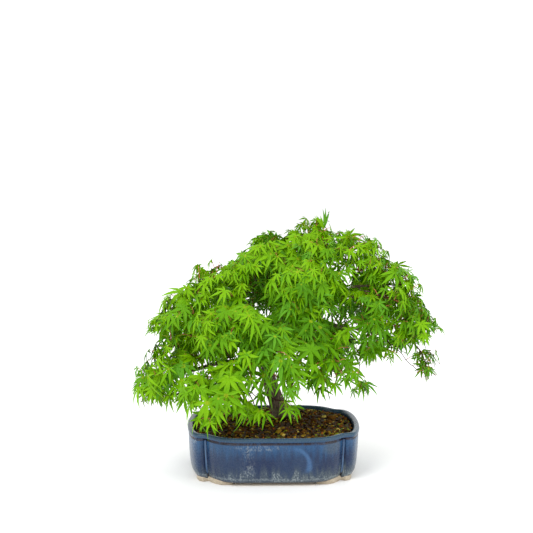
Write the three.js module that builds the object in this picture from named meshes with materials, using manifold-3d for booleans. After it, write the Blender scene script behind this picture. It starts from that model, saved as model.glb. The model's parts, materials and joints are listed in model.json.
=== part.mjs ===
// Japanese maple grown as a bonsai, in a glazed four-lobed pot. Millimetres, +Z up.
// The pot, its feet and the soil are turned on one lobed plan. The trunk and the boughs are
// tapering limbs along curves, and each mass of foliage is an uneven rounded solid.
// Every solid is placed about the middle of the pot. The last step moves the whole tree so
// that the origin is under the middle of its overall box, on the surface it stands on.
import * as THREE from 'three';
import { mergeVertices } from 'three/addons/utils/BufferGeometryUtils.js';
import Module from 'manifold-3d';

const wasm = await Module();
wasm.setup();

// ---------------------------------------------------------------- driving dimensions

const GAP = 0.3;                 // clearance between two neighbouring solids
const pot = {
  halfLength: 124,               // to the ends of the lip
  halfDepth: 102,                // to the faces of the front and back panels
  notchX: 98,                    // where an end lobe meets a front or back panel
  notchY: 70,
  height: 69.5,                  // lip above the surface it stands on
  lip: 7,                        // height of the rounded lip
  wall: 0.06,                    // wall thickness, as a share of the plan
  floor: 7,                      // thickness of the floor
  footHeight: 2.8,
  stepsPerLobe: 6,               // facets along a quarter of the plan
  stepsPerPanel: 7,
};
const foot = { outer: 0.915, band: 0.16, reach: 4 };   // shares of the plan, and stations each way
const soil = { edge: 64.5, crest: 70.6 };
const trunk = {
  foot: new THREE.Vector3(15, 22, 71),
  footRadius: 15,
  rootFlare: 0.4,               // extra radius at the soil, as a share of the foot radius
  roots: 5,                      // buttresses round the foot
  tipRadius: 3,
  sides: 10,
  steps: 14,
};
const bough = { sides: 5, steps: 6, tipShare: 0.5 };
const foliage = { detail: 2, smallDetail: 1, small: 80, roughness: 0.16 };

// The trunk's bends, from the soil to the tip: each is a step up with its lean to the
// right and its lean away from the front.
const trunkBends = [
  { up: 24, right: -10, back: 0 },
  { up: 24, right: -9, back: -2 },
  { up: 42, right: -5, back: -5 },
  { up: 38, right: 7, back: -5 },
  { up: 34, right: 20, back: -5 },
  { up: 37, right: 21, back: 0 },
  { up: 43, right: 7, back: 0 },
  { up: 32, right: 9, back: 0 },
];

// Masses of foliage. bearing is measured at the pot's middle, 0 to the right and 90 to
// the back; reach is out from there and height is above the surface the pot stands on.
// length runs outward, breadth across and thick upward; droop is how far the outer edge
// hangs. A mass with a bough states the height of its fork, the bough's arch and its radius.
const masses = [
  { name: 'apex_shoot', bearing: 0, reach: 73, height: 362, length: 24, breadth: 24, thick: 34, droop: 0 },
  { name: 'apex', bearing: 4, reach: 62, height: 329, length: 86, breadth: 94, thick: 50, droop: 8 },
  { name: 'top_left', bearing: 160, reach: 10, height: 310, length: 86, breadth: 92, thick: 56, droop: 10,
    fork: 292, arch: 12, radius: 2.6 },
  { name: 'top_right', bearing: 0, reach: 113, height: 310, length: 84, breadth: 98, thick: 62, droop: 12,
    fork: 300, arch: 10, radius: 2.6 },
  { name: 'centre', bearing: -38, reach: 60, height: 266, length: 96, breadth: 108, thick: 84, droop: 8 },
  { name: 'shoulder_left', bearing: 183, reach: 70, height: 266, length: 106, breadth: 104, thick: 64, droop: 12,
    fork: 245, arch: 14, radius: 3.4 },
  { name: 'right_upper', bearing: -6, reach: 155, height: 257, length: 114, breadth: 118, thick: 72, droop: 14,
    fork: 252, arch: 10, radius: 4 },
  { name: 'mid_left', bearing: 186, reach: 142, height: 218, length: 90, breadth: 106, thick: 54, droop: 30,
    fork: 197, arch: 16, radius: 4 },
  { name: 'centre_left', bearing: 224, reach: 80, height: 214, length: 104, breadth: 100, thick: 86, droop: 10,
    fork: 180, arch: 16, radius: 3 },
  { name: 'right', bearing: -3, reach: 192, height: 210, length: 84, breadth: 106, thick: 68, droop: 16 },
  { name: 'right_mid', bearing: -12, reach: 142, height: 190, length: 96, breadth: 96, thick: 72, droop: 10,
    fork: 217, arch: 14, radius: 4.2 },
  { name: 'right_tip', bearing: -5, reach: 216, height: 154, length: 38, breadth: 56, thick: 56, droop: 8 },
  { name: 'front_high', bearing: -68, reach: 66, height: 212, length: 78, breadth: 84, thick: 66, droop: 8 },
  { name: 'right_low', bearing: -34, reach: 90, height: 163, length: 82, breadth: 88, thick: 98, droop: 12,
    fork: 150, arch: 12, radius: 3 },
  { name: 'right_drop', bearing: -13, reach: 132, height: 126, length: 38, breadth: 36, thick: 36, droop: 4 },
  { name: 'front', bearing: 266, reach: 90, height: 164, length: 92, breadth: 88, thick: 84, droop: 12,
    fork: 136, arch: 16, radius: 2.8 },
  { name: 'left_inner', bearing: 176, reach: 112, height: 180, length: 79, breadth: 98, thick: 56, droop: 10 },
  { name: 'low_left', bearing: 192, reach: 160, height: 136, length: 92, breadth: 104, thick: 90, droop: 22,
    fork: 148, arch: 14, radius: 4 },
  { name: 'low_front_left', bearing: 229, reach: 126, height: 128, length: 86, breadth: 88, thick: 84, droop: 16,
    fork: 124, arch: 20, radius: 3 },
  { name: 'low_front', bearing: 264, reach: 76, height: 108, length: 62, breadth: 86, thick: 56, droop: 8 },
  { name: 'back_top', bearing: 64, reach: 62, height: 292, length: 79, breadth: 112, thick: 66, droop: 8 },
  { name: 'back_high_left', bearing: 118, reach: 78, height: 266, length: 79, breadth: 96, thick: 56, droop: 8 },
  { name: 'back', bearing: 84, reach: 102, height: 242, length: 96, breadth: 114, thick: 70, droop: 12,
    fork: 228, arch: 14, radius: 3.2 },
  { name: 'back_left', bearing: 140, reach: 118, height: 224, length: 96, breadth: 106, thick: 62, droop: 12,
    fork: 206, arch: 14, radius: 3.2 },
  { name: 'back_right', bearing: 30, reach: 146, height: 228, length: 104, breadth: 108, thick: 70, droop: 12,
    fork: 236, arch: 10, radius: 3.4 },
  { name: 'back_low_left', bearing: 120, reach: 122, height: 162, length: 100, breadth: 116, thick: 68, droop: 14,
    fork: 160, arch: 14, radius: 3 },
  { name: 'back_low_right', bearing: 46, reach: 128, height: 166, length: 98, breadth: 110, thick: 68, droop: 14,
    fork: 170, arch: 12, radius: 3 },
];

// ---------------------------------------------------------------- finishes

const finish = (colour, roughness) => new THREE.MeshStandardMaterial({ color: colour, roughness, metalness: 0 });
const glaze = () => finish(0x3c5a92, 0.25);
const clay = () => finish(0xb9ab94, 0.85);
const earth = () => finish(0x3b2616, 1.0);
const bark = () => finish(0x6a5646, 0.9);
const leaves = () => finish(0x5f9420, 0.7);

// ---------------------------------------------------------------- solids and booleans

/** The closed body of a geometry, with its shared corners merged. */
function bodyOf(geometry) {
  const bare = geometry.clone();
  for (const extra of ['normal', 'uv']) bare.deleteAttribute(extra);
  const merged = mergeVertices(bare, 1e-4);
  return new wasm.Manifold(new wasm.Mesh({
    numProp: 3,
    vertProperties: new Float32Array(merged.attributes.position.array),
    triVerts: new Uint32Array(merged.index.array),
  }));
}

/** A geometry from a closed body, keeping only its largest piece. */
function geometryOf(body) {
  const pieces = body.decompose();
  const largest = pieces.reduce((a, b) => (a.volume() > b.volume() ? a : b));
  const mesh = largest.getMesh();
  const geometry = new THREE.BufferGeometry();
  geometry.setAttribute('position', new THREE.BufferAttribute(new Float32Array(mesh.vertProperties), 3));
  geometry.setIndex(new THREE.BufferAttribute(new Uint32Array(mesh.triVerts), 1));
  geometry.computeVertexNormals();
  return geometry;
}

/** A named sub-part. */
function part(name, geometry, material) {
  const mesh = new THREE.Mesh(geometry, material);
  mesh.name = name;
  return mesh;
}

// ---------------------------------------------------------------- the pot's plan

/** One quarter of the plan, from the end of the pot round the notch to the middle of a panel. */
function quarterPlan() {
  const end = new THREE.Vector2(pot.halfLength, 0);
  const notch = new THREE.Vector2(pot.notchX, pot.notchY);
  const shoulder = new THREE.Vector2(pot.halfLength * 0.42, pot.halfDepth - 0.5);
  const lobe = new THREE.CubicBezierCurve(
    end,
    new THREE.Vector2(pot.halfLength, pot.notchY * 0.66),
    new THREE.Vector2(pot.halfLength * 0.93, pot.notchY * 1.24),
    notch,
  );
  const corner = new THREE.CubicBezierCurve(
    notch,
    new THREE.Vector2(pot.notchX * 0.95, pot.notchY + 10),
    new THREE.Vector2(pot.halfLength * 0.645, pot.halfDepth - 0.5),
    shoulder,
  );
  const panel = new THREE.LineCurve(shoulder, new THREE.Vector2(0, pot.halfDepth));
  return [
    ...lobe.getPoints(pot.stepsPerLobe),
    ...corner.getPoints(pot.stepsPerPanel - 2).slice(1),
    ...panel.getPoints(2).slice(1),
  ];
}

/** The whole plan, counter-clockwise from the right-hand end, as points on the lip. */
function wholePlan() {
  const quarter = quarterPlan();
  const backRight = quarter.slice(0, -1);
  const backLeft = quarter.slice(1).reverse().map((p) => new THREE.Vector2(-p.x, p.y));
  const half = [...backRight, ...backLeft];
  return [...half, ...half.map((p) => new THREE.Vector2(-p.x, -p.y))];
}

const plan = wholePlan();

/** A profile of (share of the plan, height) pairs swept once round the plan. */
function turnedOnPlan(profile, place = (point, share) => point.clone().multiplyScalar(share)) {
  const rings = profile.map(([share, height]) => new THREE.Vector2(share, height));
  const geometry = new THREE.LatheGeometry(rings, plan.length);
  const position = geometry.attributes.position;
  for (let i = 0; i < position.count; i++) {
    const station = Math.floor(i / rings.length) % plan.length;
    const ring = rings[i % rings.length];
    const at = place(plan[station], ring.x, ring.y);
    position.setXYZ(i, at.x, at.y, ring.y);
  }
  return geometry;
}

// ---------------------------------------------------------------- pot, feet and soil

const potBase = pot.footHeight + GAP;
const potFloor = potBase + pot.floor;
const neck = pot.height - pot.lip;

/** The wall's outer share of the plan at a height: battered, and rounded in at the foot. */
const wallProfile = [
  [0, potBase],
  [0.9, potBase],
  [0.936, potBase + 3],
  [0.96, potBase + 11],
  [0.974, potBase + 26],
  [0.985, neck],
  [0.994, neck + 1.2],
  [1, neck + pot.lip * 0.45],
  [0.98, pot.height],
];
const hollowProfile = [
  [0.975 - pot.wall * 0.5, pot.height - 0.6],
  [0.975 - pot.wall, neck + 2],
  [0.96 - pot.wall, potBase + 26],
  [0.92 - pot.wall, potFloor + 1],
  [0, potFloor],
];

function potBody() {
  return turnedOnPlan([...wallProfile, ...hollowProfile]);
}

/** Soil filling the pot, level with a soft mound up to the foot of the trunk. */
function soilBody() {
  const inset = 0.014;
  const trunkFoot = new THREE.Vector2(trunk.foot.x, trunk.foot.y);
  const profile = [
    [0, potFloor + GAP],
    [0.92 - pot.wall - inset, potFloor + 1 + GAP],
    [0.96 - pot.wall - inset, potBase + 26],
    [0.975 - pot.wall - inset, soil.edge],
    [0.78, soil.edge + 1.2],
    [0.5, soil.edge + 3.6],
    [0.25, soil.crest],
    [0, soil.crest],
  ];
  return turnedOnPlan(profile, (point, share, height) => {
    const onTop = height >= soil.edge ? 1 - share / 0.9 : 0;
    return point.clone().multiplyScalar(share).addScaledVector(trunkFoot, Math.max(onTop, 0));
  });
}

/** A bracket foot under the notch at a station: a band along the plan with rounded ends. */
function footBody(notchStation) {
  const stations = 2 * foot.reach;
  const middle = foot.outer - foot.band / 2;
  const edge = (side) => Array.from({ length: stations + 1 }, (_, i) => {
    const point = plan[(notchStation - foot.reach + i + plan.length) % plan.length];
    const roundedEnd = Math.sqrt(1 - (2 * i / stations - 1) ** 4);
    return point.clone().multiplyScalar(middle + side * roundedEnd * foot.band / 2);
  });
  const outline = new THREE.Shape([...edge(1), ...edge(-1).slice(1, -1).reverse()]);
  return new THREE.ExtrudeGeometry(outline, { depth: pot.footHeight, bevelEnabled: false });
}

/** The stations of the four notches. */
function notchStations() {
  const quarter = plan.length / 4;
  return {
    back_right: pot.stepsPerLobe,
    back_left: 2 * quarter - pot.stepsPerLobe,
    front_left: 2 * quarter + pot.stepsPerLobe,
    front_right: 4 * quarter - pot.stepsPerLobe,
  };
}

// ---------------------------------------------------------------- limbs

/** A closed tapering limb: a capped cylinder laid along a curve. radiusAt takes the share
 *  of the length and the angle round the limb. */
function limb(curve, radiusAt, sides, steps) {
  const frames = curve.computeFrenetFrames(steps, false);
  const geometry = new THREE.CylinderGeometry(1, 1, 1, sides, steps);
  const position = geometry.attributes.position;
  for (let i = 0; i < position.count; i++) {
    const x = position.getX(i);
    const z = position.getZ(i);
    const step = Math.round((position.getY(i) + 0.5) * steps);
    const along = step / steps;
    const radius = radiusAt(along, Math.atan2(z, x));
    const at = curve.getPointAt(along)
      .addScaledVector(frames.normals[step], z * radius)
      .addScaledVector(frames.binormals[step], x * radius);
    position.setXYZ(i, at.x, at.y, at.z);
  }
  return geometry;
}

/** The trunk's centre line, from just under the soil to the tip. */
function trunkLine() {
  const points = [trunk.foot.clone().add(new THREE.Vector3(6, 0, -14)), trunk.foot.clone()];
  for (const bend of trunkBends) {
    points.push(points.at(-1).clone().add(new THREE.Vector3(bend.right, bend.back, bend.up)));
  }
  return new THREE.CatmullRomCurve3(points);
}

const heartwood = trunkLine();

/** Radius of the trunk at a share of its length, flared into buttresses at the foot. */
function trunkRadius(along, angle, extra = 0) {
  const taper = trunk.footRadius + (trunk.tipRadius - trunk.footRadius) * along ** 0.72;
  const flare = trunk.rootFlare * Math.exp(-along * 16);
  const buttress = 0.65 + 0.35 * Math.cos(trunk.roots * angle + 0.6);
  return taper * (1 + flare * buttress) + extra;
}

/** The trunk's body with the part below the soil cut off level. */
function trunkBody(extra = 0) {
  const stem = bodyOf(limb(heartwood, (t, a) => trunkRadius(t, a, extra), trunk.sides, trunk.steps));
  const below = new THREE.BoxGeometry(200, 200, 100).translate(trunk.foot.x, trunk.foot.y, trunk.foot.z - 50 - extra);
  return stem.subtract(bodyOf(below));
}

/** The point on the trunk's centre line at a height. */
function forkAt(height) {
  let low = 0;
  let high = 1;
  for (let i = 0; i < 24; i++) {
    const middle = (low + high) / 2;
    if (heartwood.getPointAt(middle).z < height) low = middle;
    else high = middle;
  }
  return heartwood.getPointAt(low);
}

/** The middle of a mass of foliage. */
function middleOf(mass) {
  const angle = THREE.MathUtils.degToRad(mass.bearing);
  return new THREE.Vector3(mass.reach * Math.cos(angle), mass.reach * Math.sin(angle), mass.height);
}

/** A bough's line: out of the fork, arched, and into the middle of its mass. */
function boughLine(mass) {
  const from = forkAt(mass.fork);
  const to = middleOf(mass);
  const lift = (share, rise) => from.clone().lerp(to, share).add(new THREE.Vector3(0, 0, rise));
  return new THREE.CatmullRomCurve3([from, lift(0.3, mass.arch), lift(0.65, mass.arch * 0.8), to]);
}

function boughLimb(mass, extra = 0) {
  const radius = (along) => mass.radius * (1 - (1 - bough.tipShare) * along) + extra;
  return bodyOf(limb(boughLine(mass), radius, bough.sides, bough.steps));
}

// ---------------------------------------------------------------- foliage

/** Lumps of a mass in a direction: a few slow waves whose phases depend on the seed. */
function lump(direction, seed) {
  const wave = (x, y, z, phase) => Math.sin(x * direction.x + y * direction.y + z * direction.z + phase);
  const slow = wave(2.3, 1.7, -1.9, seed * 2.4) + wave(-1.6, 2.9, 1.4, seed * 5.1);
  const quick = wave(4.8, -3.9, 4.3, seed * 3.3) + wave(-4.1, -5.2, 3.1, seed * 7.7);
  return 1 + foliage.roughness * (0.55 * slow + 0.5 * quick);
}

/** A mass of foliage: a flattened, lumpy round body whose outer edge hangs. */
function foliageBody(mass, seed, extra = 0) {
  const geometry = new THREE.IcosahedronGeometry(1, mass.length < foliage.small ? foliage.smallDetail : foliage.detail);
  geometry.deleteAttribute('normal');
  geometry.deleteAttribute('uv');
  const position = geometry.attributes.position;
  const direction = new THREE.Vector3();
  for (let i = 0; i < position.count; i++) {
    direction.fromBufferAttribute(position, i);
    const size = lump(direction, seed);
    const edge = direction.x ** 2 + direction.y ** 2;
    position.setXYZ(
      i,
      direction.x * (size * mass.length / 2 + extra),
      direction.y * (size * mass.breadth / 2 + extra),
      direction.z * (size * mass.thick / 2 + extra) - mass.droop * (edge - 0.5),
    );
  }
  const middle = middleOf(mass);
  geometry.rotateZ(THREE.MathUtils.degToRad(mass.bearing));
  geometry.translate(middle.x, middle.y, middle.z);
  return bodyOf(geometry);
}

// ---------------------------------------------------------------- the tree

const tree = new THREE.Group();
tree.add(part('pot', potBody(), glaze()));
for (const [corner, station] of Object.entries(notchStations())) {
  tree.add(part(`foot_${corner}`, footBody(station), clay()));
}
tree.add(part('soil', soilBody(), earth()));
tree.add(part('trunk', geometryOf(trunkBody()), bark()));

// Boughs start clear of the trunk and of the boughs made before, and end at their mass.
let taken = trunkBody(GAP * 2);
masses.forEach((mass, seed) => {
  if (!mass.fork) return;
  const itsMass = foliageBody(mass, seed, GAP * 2);
  const body = boughLimb(mass).subtract(taken).subtract(itsMass);
  tree.add(part(`bough_${mass.name}`, geometryOf(body), bark()));
  taken = taken.add(boughLimb(mass, GAP * 2).subtract(itsMass));
});

// Masses are cut round the limbs and round the masses made before.
masses.forEach((mass, seed) => {
  const body = foliageBody(mass, seed).subtract(taken);
  tree.add(part(`foliage_${mass.name}`, geometryOf(body), leaves()));
  taken = taken.add(foliageBody(mass, seed, GAP * 2));
});

// The origin goes under the middle of the overall box.
const box = new THREE.Box3().setFromObject(tree);
const centre = box.getCenter(new THREE.Vector3());
tree.position.set(-centre.x, -centre.y, -box.min.z);

export default tree;
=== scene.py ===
"""Japanese maple bonsai in a glazed four-lobed pot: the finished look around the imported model.

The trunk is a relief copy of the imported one. The boughs follow the centre lines of the
packed limbs, and a seeded branching rule grows them on, as twigs that reach for points
scattered through each mass of foliage. Leaves open in pairs on the young wood. The pot,
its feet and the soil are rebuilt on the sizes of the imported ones.
"""

import json
import logging
import math
from collections.abc import Sequence
from dataclasses import dataclass, field
from enum import Enum

import bpy
import numpy as np
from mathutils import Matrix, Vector, noise
from mathutils.bvhtree import BVHTree

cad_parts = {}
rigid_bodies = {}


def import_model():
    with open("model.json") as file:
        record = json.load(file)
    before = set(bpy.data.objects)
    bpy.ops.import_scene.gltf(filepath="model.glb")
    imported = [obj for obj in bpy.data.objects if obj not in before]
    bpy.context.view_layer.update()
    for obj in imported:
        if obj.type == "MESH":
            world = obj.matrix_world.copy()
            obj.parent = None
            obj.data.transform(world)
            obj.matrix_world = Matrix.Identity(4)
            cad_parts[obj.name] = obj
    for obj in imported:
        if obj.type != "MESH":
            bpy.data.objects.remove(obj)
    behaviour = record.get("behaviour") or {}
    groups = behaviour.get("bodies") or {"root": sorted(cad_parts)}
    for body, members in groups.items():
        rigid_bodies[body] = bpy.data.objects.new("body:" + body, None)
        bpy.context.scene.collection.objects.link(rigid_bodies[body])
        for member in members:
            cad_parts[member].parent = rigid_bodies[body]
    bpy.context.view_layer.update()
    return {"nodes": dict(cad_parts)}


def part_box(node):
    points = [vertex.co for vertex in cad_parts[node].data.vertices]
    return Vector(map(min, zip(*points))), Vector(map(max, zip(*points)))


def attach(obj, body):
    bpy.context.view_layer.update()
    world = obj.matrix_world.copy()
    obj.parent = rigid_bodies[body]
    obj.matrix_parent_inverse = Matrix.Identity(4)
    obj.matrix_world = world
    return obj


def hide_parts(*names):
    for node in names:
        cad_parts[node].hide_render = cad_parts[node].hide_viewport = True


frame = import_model()
LOG = logging.getLogger("bonsai")
MM = 0.001                          # a millimetre, in metres
BODY = "root"
SEED = 19
UP = np.array([0.0, 0.0, 1.0])
UP_VECTOR = Vector(UP)

Colour = tuple[float, float, float, float]
Line = tuple[np.ndarray, np.ndarray]    # the points of a run of wood, and its radius at each
Piece = bpy.types.Object
Rng = np.random.Generator
Rows = dict[str, np.ndarray]            # named rows, one entry a leaf
Socket = bpy.types.NodeSocket


# ------------------------------------------------------------------ working with Blender


def deselect_all() -> None:
    """Leave nothing selected, so that the next operator acts on its own piece only."""
    bpy.ops.object.select_all(action="DESELECT")


def activate(piece: Piece) -> None:
    """Select one piece alone and make it the active one."""
    deselect_all()
    piece.select_set(True)
    bpy.context.view_layer.objects.active = piece


def edit_all() -> None:
    """Start to edit the active piece, with all of it selected."""
    bpy.ops.object.mode_set(mode="EDIT")
    bpy.ops.mesh.select_all(action="SELECT")


def stop_editing() -> None:
    """Go back to working on whole pieces."""
    bpy.ops.object.mode_set(mode="OBJECT")


def apply_modifier(piece: Piece, kind: str, **settings: object) -> None:
    """Add a modifier to a piece, set it and apply it.

    Args:
        piece: The piece to change.
        kind: Blender's name of the modifier type.
        settings: Values of the modifier's own fields.
    """
    activate(piece)
    bpy.ops.object.modifier_add(type=kind)
    modifier = piece.modifiers[-1]
    for name, value in settings.items():
        setattr(modifier, name, value)
    bpy.ops.object.modifier_apply(modifier=modifier.name)


def mesh_piece(
    name: str,
    vertices: np.ndarray,
    faces: Sequence[Sequence[int]],
    slots: np.ndarray | None = None,
) -> Piece:
    """Make one joined mesh from arrays.

    Args:
        name: Name of the piece.
        vertices: Corner places, one row each, in metres.
        faces: Corner numbers of each face.
        slots: Material slot of each face.

    Returns:
        The new object, at the origin.
    """
    mesh = bpy.data.meshes.new(name)
    mesh.from_pydata(vertices.tolist(), [], faces)
    if slots is not None:
        mesh.polygons.foreach_set("material_index", np.asarray(slots, np.int32))
    mesh.update()
    piece = bpy.data.objects.new(name, mesh)
    bpy.context.scene.collection.objects.link(piece)
    return piece


def copy_of(node: str, name: str) -> Piece:
    """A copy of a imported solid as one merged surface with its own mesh.

    Args:
        node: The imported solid.
        name: Name of the copy.

    Returns:
        The new object.
    """
    piece = bpy.data.objects.new(name, frame["nodes"][node].data.copy())
    bpy.context.scene.collection.objects.link(piece)
    piece.data.materials.clear()
    activate(piece)
    edit_all()
    bpy.ops.mesh.remove_doubles(threshold=0.02 * MM)
    bpy.ops.mesh.customdata_custom_splitnormals_clear()
    stop_editing()
    return piece


def smooth(piece: Piece, angle: float) -> None:
    """Shade a piece smooth, apart from edges sharper than an angle in degrees."""
    activate(piece)
    bpy.ops.object.shade_smooth_by_angle(angle=math.radians(angle))


def corners_of(mesh: bpy.types.Mesh) -> np.ndarray:
    """Corner places of a mesh, one row each."""
    flat = np.empty(len(mesh.vertices) * 3, np.float32)
    mesh.vertices.foreach_get("co", flat)
    return flat.reshape(-1, 3).astype(float)


def normals_of(mesh: bpy.types.Mesh) -> np.ndarray:
    """The way that each corner of a mesh faces, one row each."""
    flat = np.empty(len(mesh.vertices) * 3, np.float32)
    mesh.vertices.foreach_get("normal", flat)
    return flat.reshape(-1, 3)


def place_corners(mesh: bpy.types.Mesh, places: np.ndarray) -> None:
    """Move a mesh's corners to new places, one row each."""
    mesh.vertices.foreach_set("co", places.astype(np.float32).ravel())
    mesh.update()


def stand_for(piece: Piece, nodes: Sequence[str]) -> None:
    """Fix a finished piece to the tree and the solids it stands for.

    Args:
        piece: The finished piece.
        nodes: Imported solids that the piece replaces.
    """
    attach(piece, BODY)
    if nodes:
        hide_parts(*nodes)
    LOG.info("%s: %d faces, stands for %d solids", piece.name, len(piece.data.polygons), len(nodes))


def unit(rows: np.ndarray) -> np.ndarray:
    """Rows scaled to a length of one."""
    return rows / np.maximum(np.linalg.norm(rows, axis=-1, keepdims=True), 1e-9)


def srgb(red: int, green: int, blue: int) -> Colour:
    """A screen colour, 0 to 255 each, as the linear colour that materials use."""
    def linear(level: int) -> float:
        """One channel, with its screen curve undone."""
        share = level / 255
        return share / 12.92 if share <= 0.04045 else ((share + 0.055) / 1.055) ** 2.4

    return linear(red), linear(green), linear(blue), 1.0


# ------------------------------------------------------------------ finishes


@dataclass(frozen=True)
class Nodes:
    """A material's node tree, with short ways to add and join nodes."""

    tree: bpy.types.NodeTree

    def add(self, kind: str, **settings: object) -> bpy.types.Node:
        """A new node with some of its fields or inputs set, inputs by their names."""
        node = self.tree.nodes.new(kind)
        for name, value in settings.items():
            if hasattr(node, name):
                setattr(node, name, value)
            else:
                node.inputs[name.replace("_", " ").title()].default_value = value
        return node

    def link(self, start: Socket, end: Socket) -> None:
        """Join two sockets."""
        self.tree.links.new(start, end)

    def place(self) -> Socket:
        """The place of a point in the object's own frame."""
        return self.add("ShaderNodeTexCoord").outputs["Object"]

    def stretched(self, scale: tuple[float, float, float]) -> Socket:
        """The place of a point, stretched along the axes."""
        mapping = self.add("ShaderNodeMapping")
        mapping.inputs["Scale"].default_value = scale
        self.link(self.place(), mapping.inputs["Vector"])
        return mapping.outputs["Vector"]

    def noise(self, where: Socket, scale: float, detail: float = 3.0) -> Socket:
        """Even noise of a scale, in waves per metre."""
        node = self.add("ShaderNodeTexNoise", scale=scale, detail=detail, roughness=0.6)
        self.link(where, node.inputs["Vector"])
        return node.outputs["Fac"]

    def band(self, value: Socket, low: float, high: float,
             to_low: float = 0.0, to_high: float = 1.0) -> Socket:
        """A value turned smoothly from one level to another between two limits."""
        node = self.add("ShaderNodeMapRange", interpolation_type="SMOOTHSTEP")
        self.link(value, node.inputs["Value"])
        for name, level in zip(("From Min", "From Max", "To Min", "To Max"), (low, high, to_low, to_high)):
            node.inputs[name].default_value = level
        return node.outputs["Result"]

    def maths(self, operation: str, first: object, second: object) -> Socket:
        """Two values or sockets put together by an operation."""
        node = self.add("ShaderNodeMath", operation=operation)
        for entry, value in zip(node.inputs, (first, second)):
            if isinstance(value, Socket):
                self.link(value, entry)
            else:
                entry.default_value = value
        return node.outputs["Value"]

    def times(self, first: object, second: object) -> Socket:
        """Two values multiplied."""
        return self.maths("MULTIPLY", first, second)

    def plus(self, first: object, second: object) -> Socket:
        """Two values added."""
        return self.maths("ADD", first, second)

    def minus(self, first: object, second: object) -> Socket:
        """One value less another."""
        return self.maths("SUBTRACT", first, second)

    def most(self, first: object, second: object) -> Socket:
        """The greater of two values."""
        return self.maths("MAXIMUM", first, second)

    def apart(self, first: object, second: object) -> Socket:
        """How far apart two values are."""
        return self.maths("ABSOLUTE", self.minus(first, second), 0.0)

    def squares(self, first: object, second: object) -> Socket:
        """The squares of two values, added."""
        return self.plus(self.times(first, first), self.times(second, second))

    def mix(self, share: Socket, below: object, above: object) -> Socket:
        """One colour laid over another by a share."""
        node = self.add("ShaderNodeMix", data_type="RGBA")
        self.link(share, node.inputs["Factor"])
        for name, value in (("A", below), ("B", above)):
            entry = next(s for s in node.inputs if s.name == name and s.type == "RGBA")
            if isinstance(value, Socket):
                self.link(value, entry)
            else:
                entry.default_value = value
        return next(s for s in node.outputs if s.type == "RGBA")


class SharedEffect:
    """Effects that several finishes use, each a node group that is built once."""

    built: dict[str, bpy.types.NodeTree] = {}

    @classmethod
    def mottle(cls) -> bpy.types.NodeTree:
        """A group that turns a place into two sizes of soft mottling and a fine grain.

        Returns:
            The group, with inputs Vector, Size and Grain, and outputs Broad, Fine and Height.
        """
        if "mottle" in cls.built:
            return cls.built["mottle"]
        group = bpy.data.node_groups.new("mottle", "ShaderNodeTree")
        group.interface.new_socket("Vector", in_out="INPUT", socket_type="NodeSocketVector")
        for name in ("Size", "Grain"):
            group.interface.new_socket(name, in_out="INPUT", socket_type="NodeSocketFloat")
        for name in ("Broad", "Fine", "Height"):
            group.interface.new_socket(name, in_out="OUTPUT", socket_type="NodeSocketFloat")
        nodes = Nodes(group)
        entry = nodes.add("NodeGroupInput")
        leave = nodes.add("NodeGroupOutput")
        results = []
        for size, low, high in (("Size", 0.35, 0.65), ("Grain", 0.38, 0.62)):
            cloud = nodes.add("ShaderNodeTexNoise", detail=4.0, roughness=0.62)
            nodes.link(entry.outputs["Vector"], cloud.inputs["Vector"])
            nodes.link(entry.outputs[size], cloud.inputs["Scale"])
            results.append(nodes.band(cloud.outputs["Fac"], low, high))
        nodes.link(results[0], leave.inputs["Broad"])
        nodes.link(results[1], leave.inputs["Fine"])
        nodes.link(nodes.plus(results[0], results[1]), leave.inputs["Height"])
        cls.built["mottle"] = group
        return group


def mottled(nodes: Nodes, where: Socket, size: float, grain: float) -> bpy.types.Node:
    """The shared mottle placed in a finish.

    Args:
        nodes: The finish's nodes.
        where: The place that the mottling reads.
        size: Waves per metre of the broad mottling.
        grain: Waves per metre of the fine one.

    Returns:
        The group node.
    """
    group = nodes.add("ShaderNodeGroup", node_tree=SharedEffect.mottle())
    nodes.link(where, group.inputs["Vector"])
    group.inputs["Size"].default_value = size
    group.inputs["Grain"].default_value = grain
    return group


def new_material(name: str) -> tuple[bpy.types.Material, Nodes, bpy.types.Node]:
    """An empty material with its nodes and its surface shader.

    Args:
        name: The material's name.

    Returns:
        The material, its nodes and its shader.
    """
    material = bpy.data.materials.new(name)
    material.use_nodes = True
    shader = next(n for n in material.node_tree.nodes if n.type == "BSDF_PRINCIPLED")
    return material, Nodes(material.node_tree), shader


def bump(nodes: Nodes, shader: bpy.types.Node, height: Socket, depth: float) -> None:
    """Relief of a depth, in metres, from a height between 0 and 1."""
    node = nodes.add("ShaderNodeBump")
    node.inputs["Strength"].default_value = 1.0
    node.inputs["Distance"].default_value = depth
    nodes.link(height, node.inputs["Height"])
    nodes.link(node.outputs["Normal"], shader.inputs["Normal"])


@dataclass(frozen=True)
class LeafTint:
    """A plain leaf or stalk colour, dealt out by spray."""

    name: str
    colour: Colour
    roughness: float = 0.5
    shine: float = 0.2
    painted_glow: float = 0.0               # painted glow: faint emission standing in for light that a thin leaf lets through

    def build(self) -> bpy.types.Material:
        """The material: one even colour with a soft waxy shine, and a faint painted glow where one is set."""
        material, _, shader = new_material(self.name)
        shader.inputs["Base Color"].default_value = self.colour
        shader.inputs["Roughness"].default_value = self.roughness
        shader.inputs["Specular IOR Level"].default_value = self.shine
        # painted glow: the leaf's own colour given off as faint light, lifting its shade
        if self.painted_glow:
            shader.inputs["Emission Color"].default_value = self.colour
            shader.inputs["Emission Strength"].default_value = self.painted_glow
        return material


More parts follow.
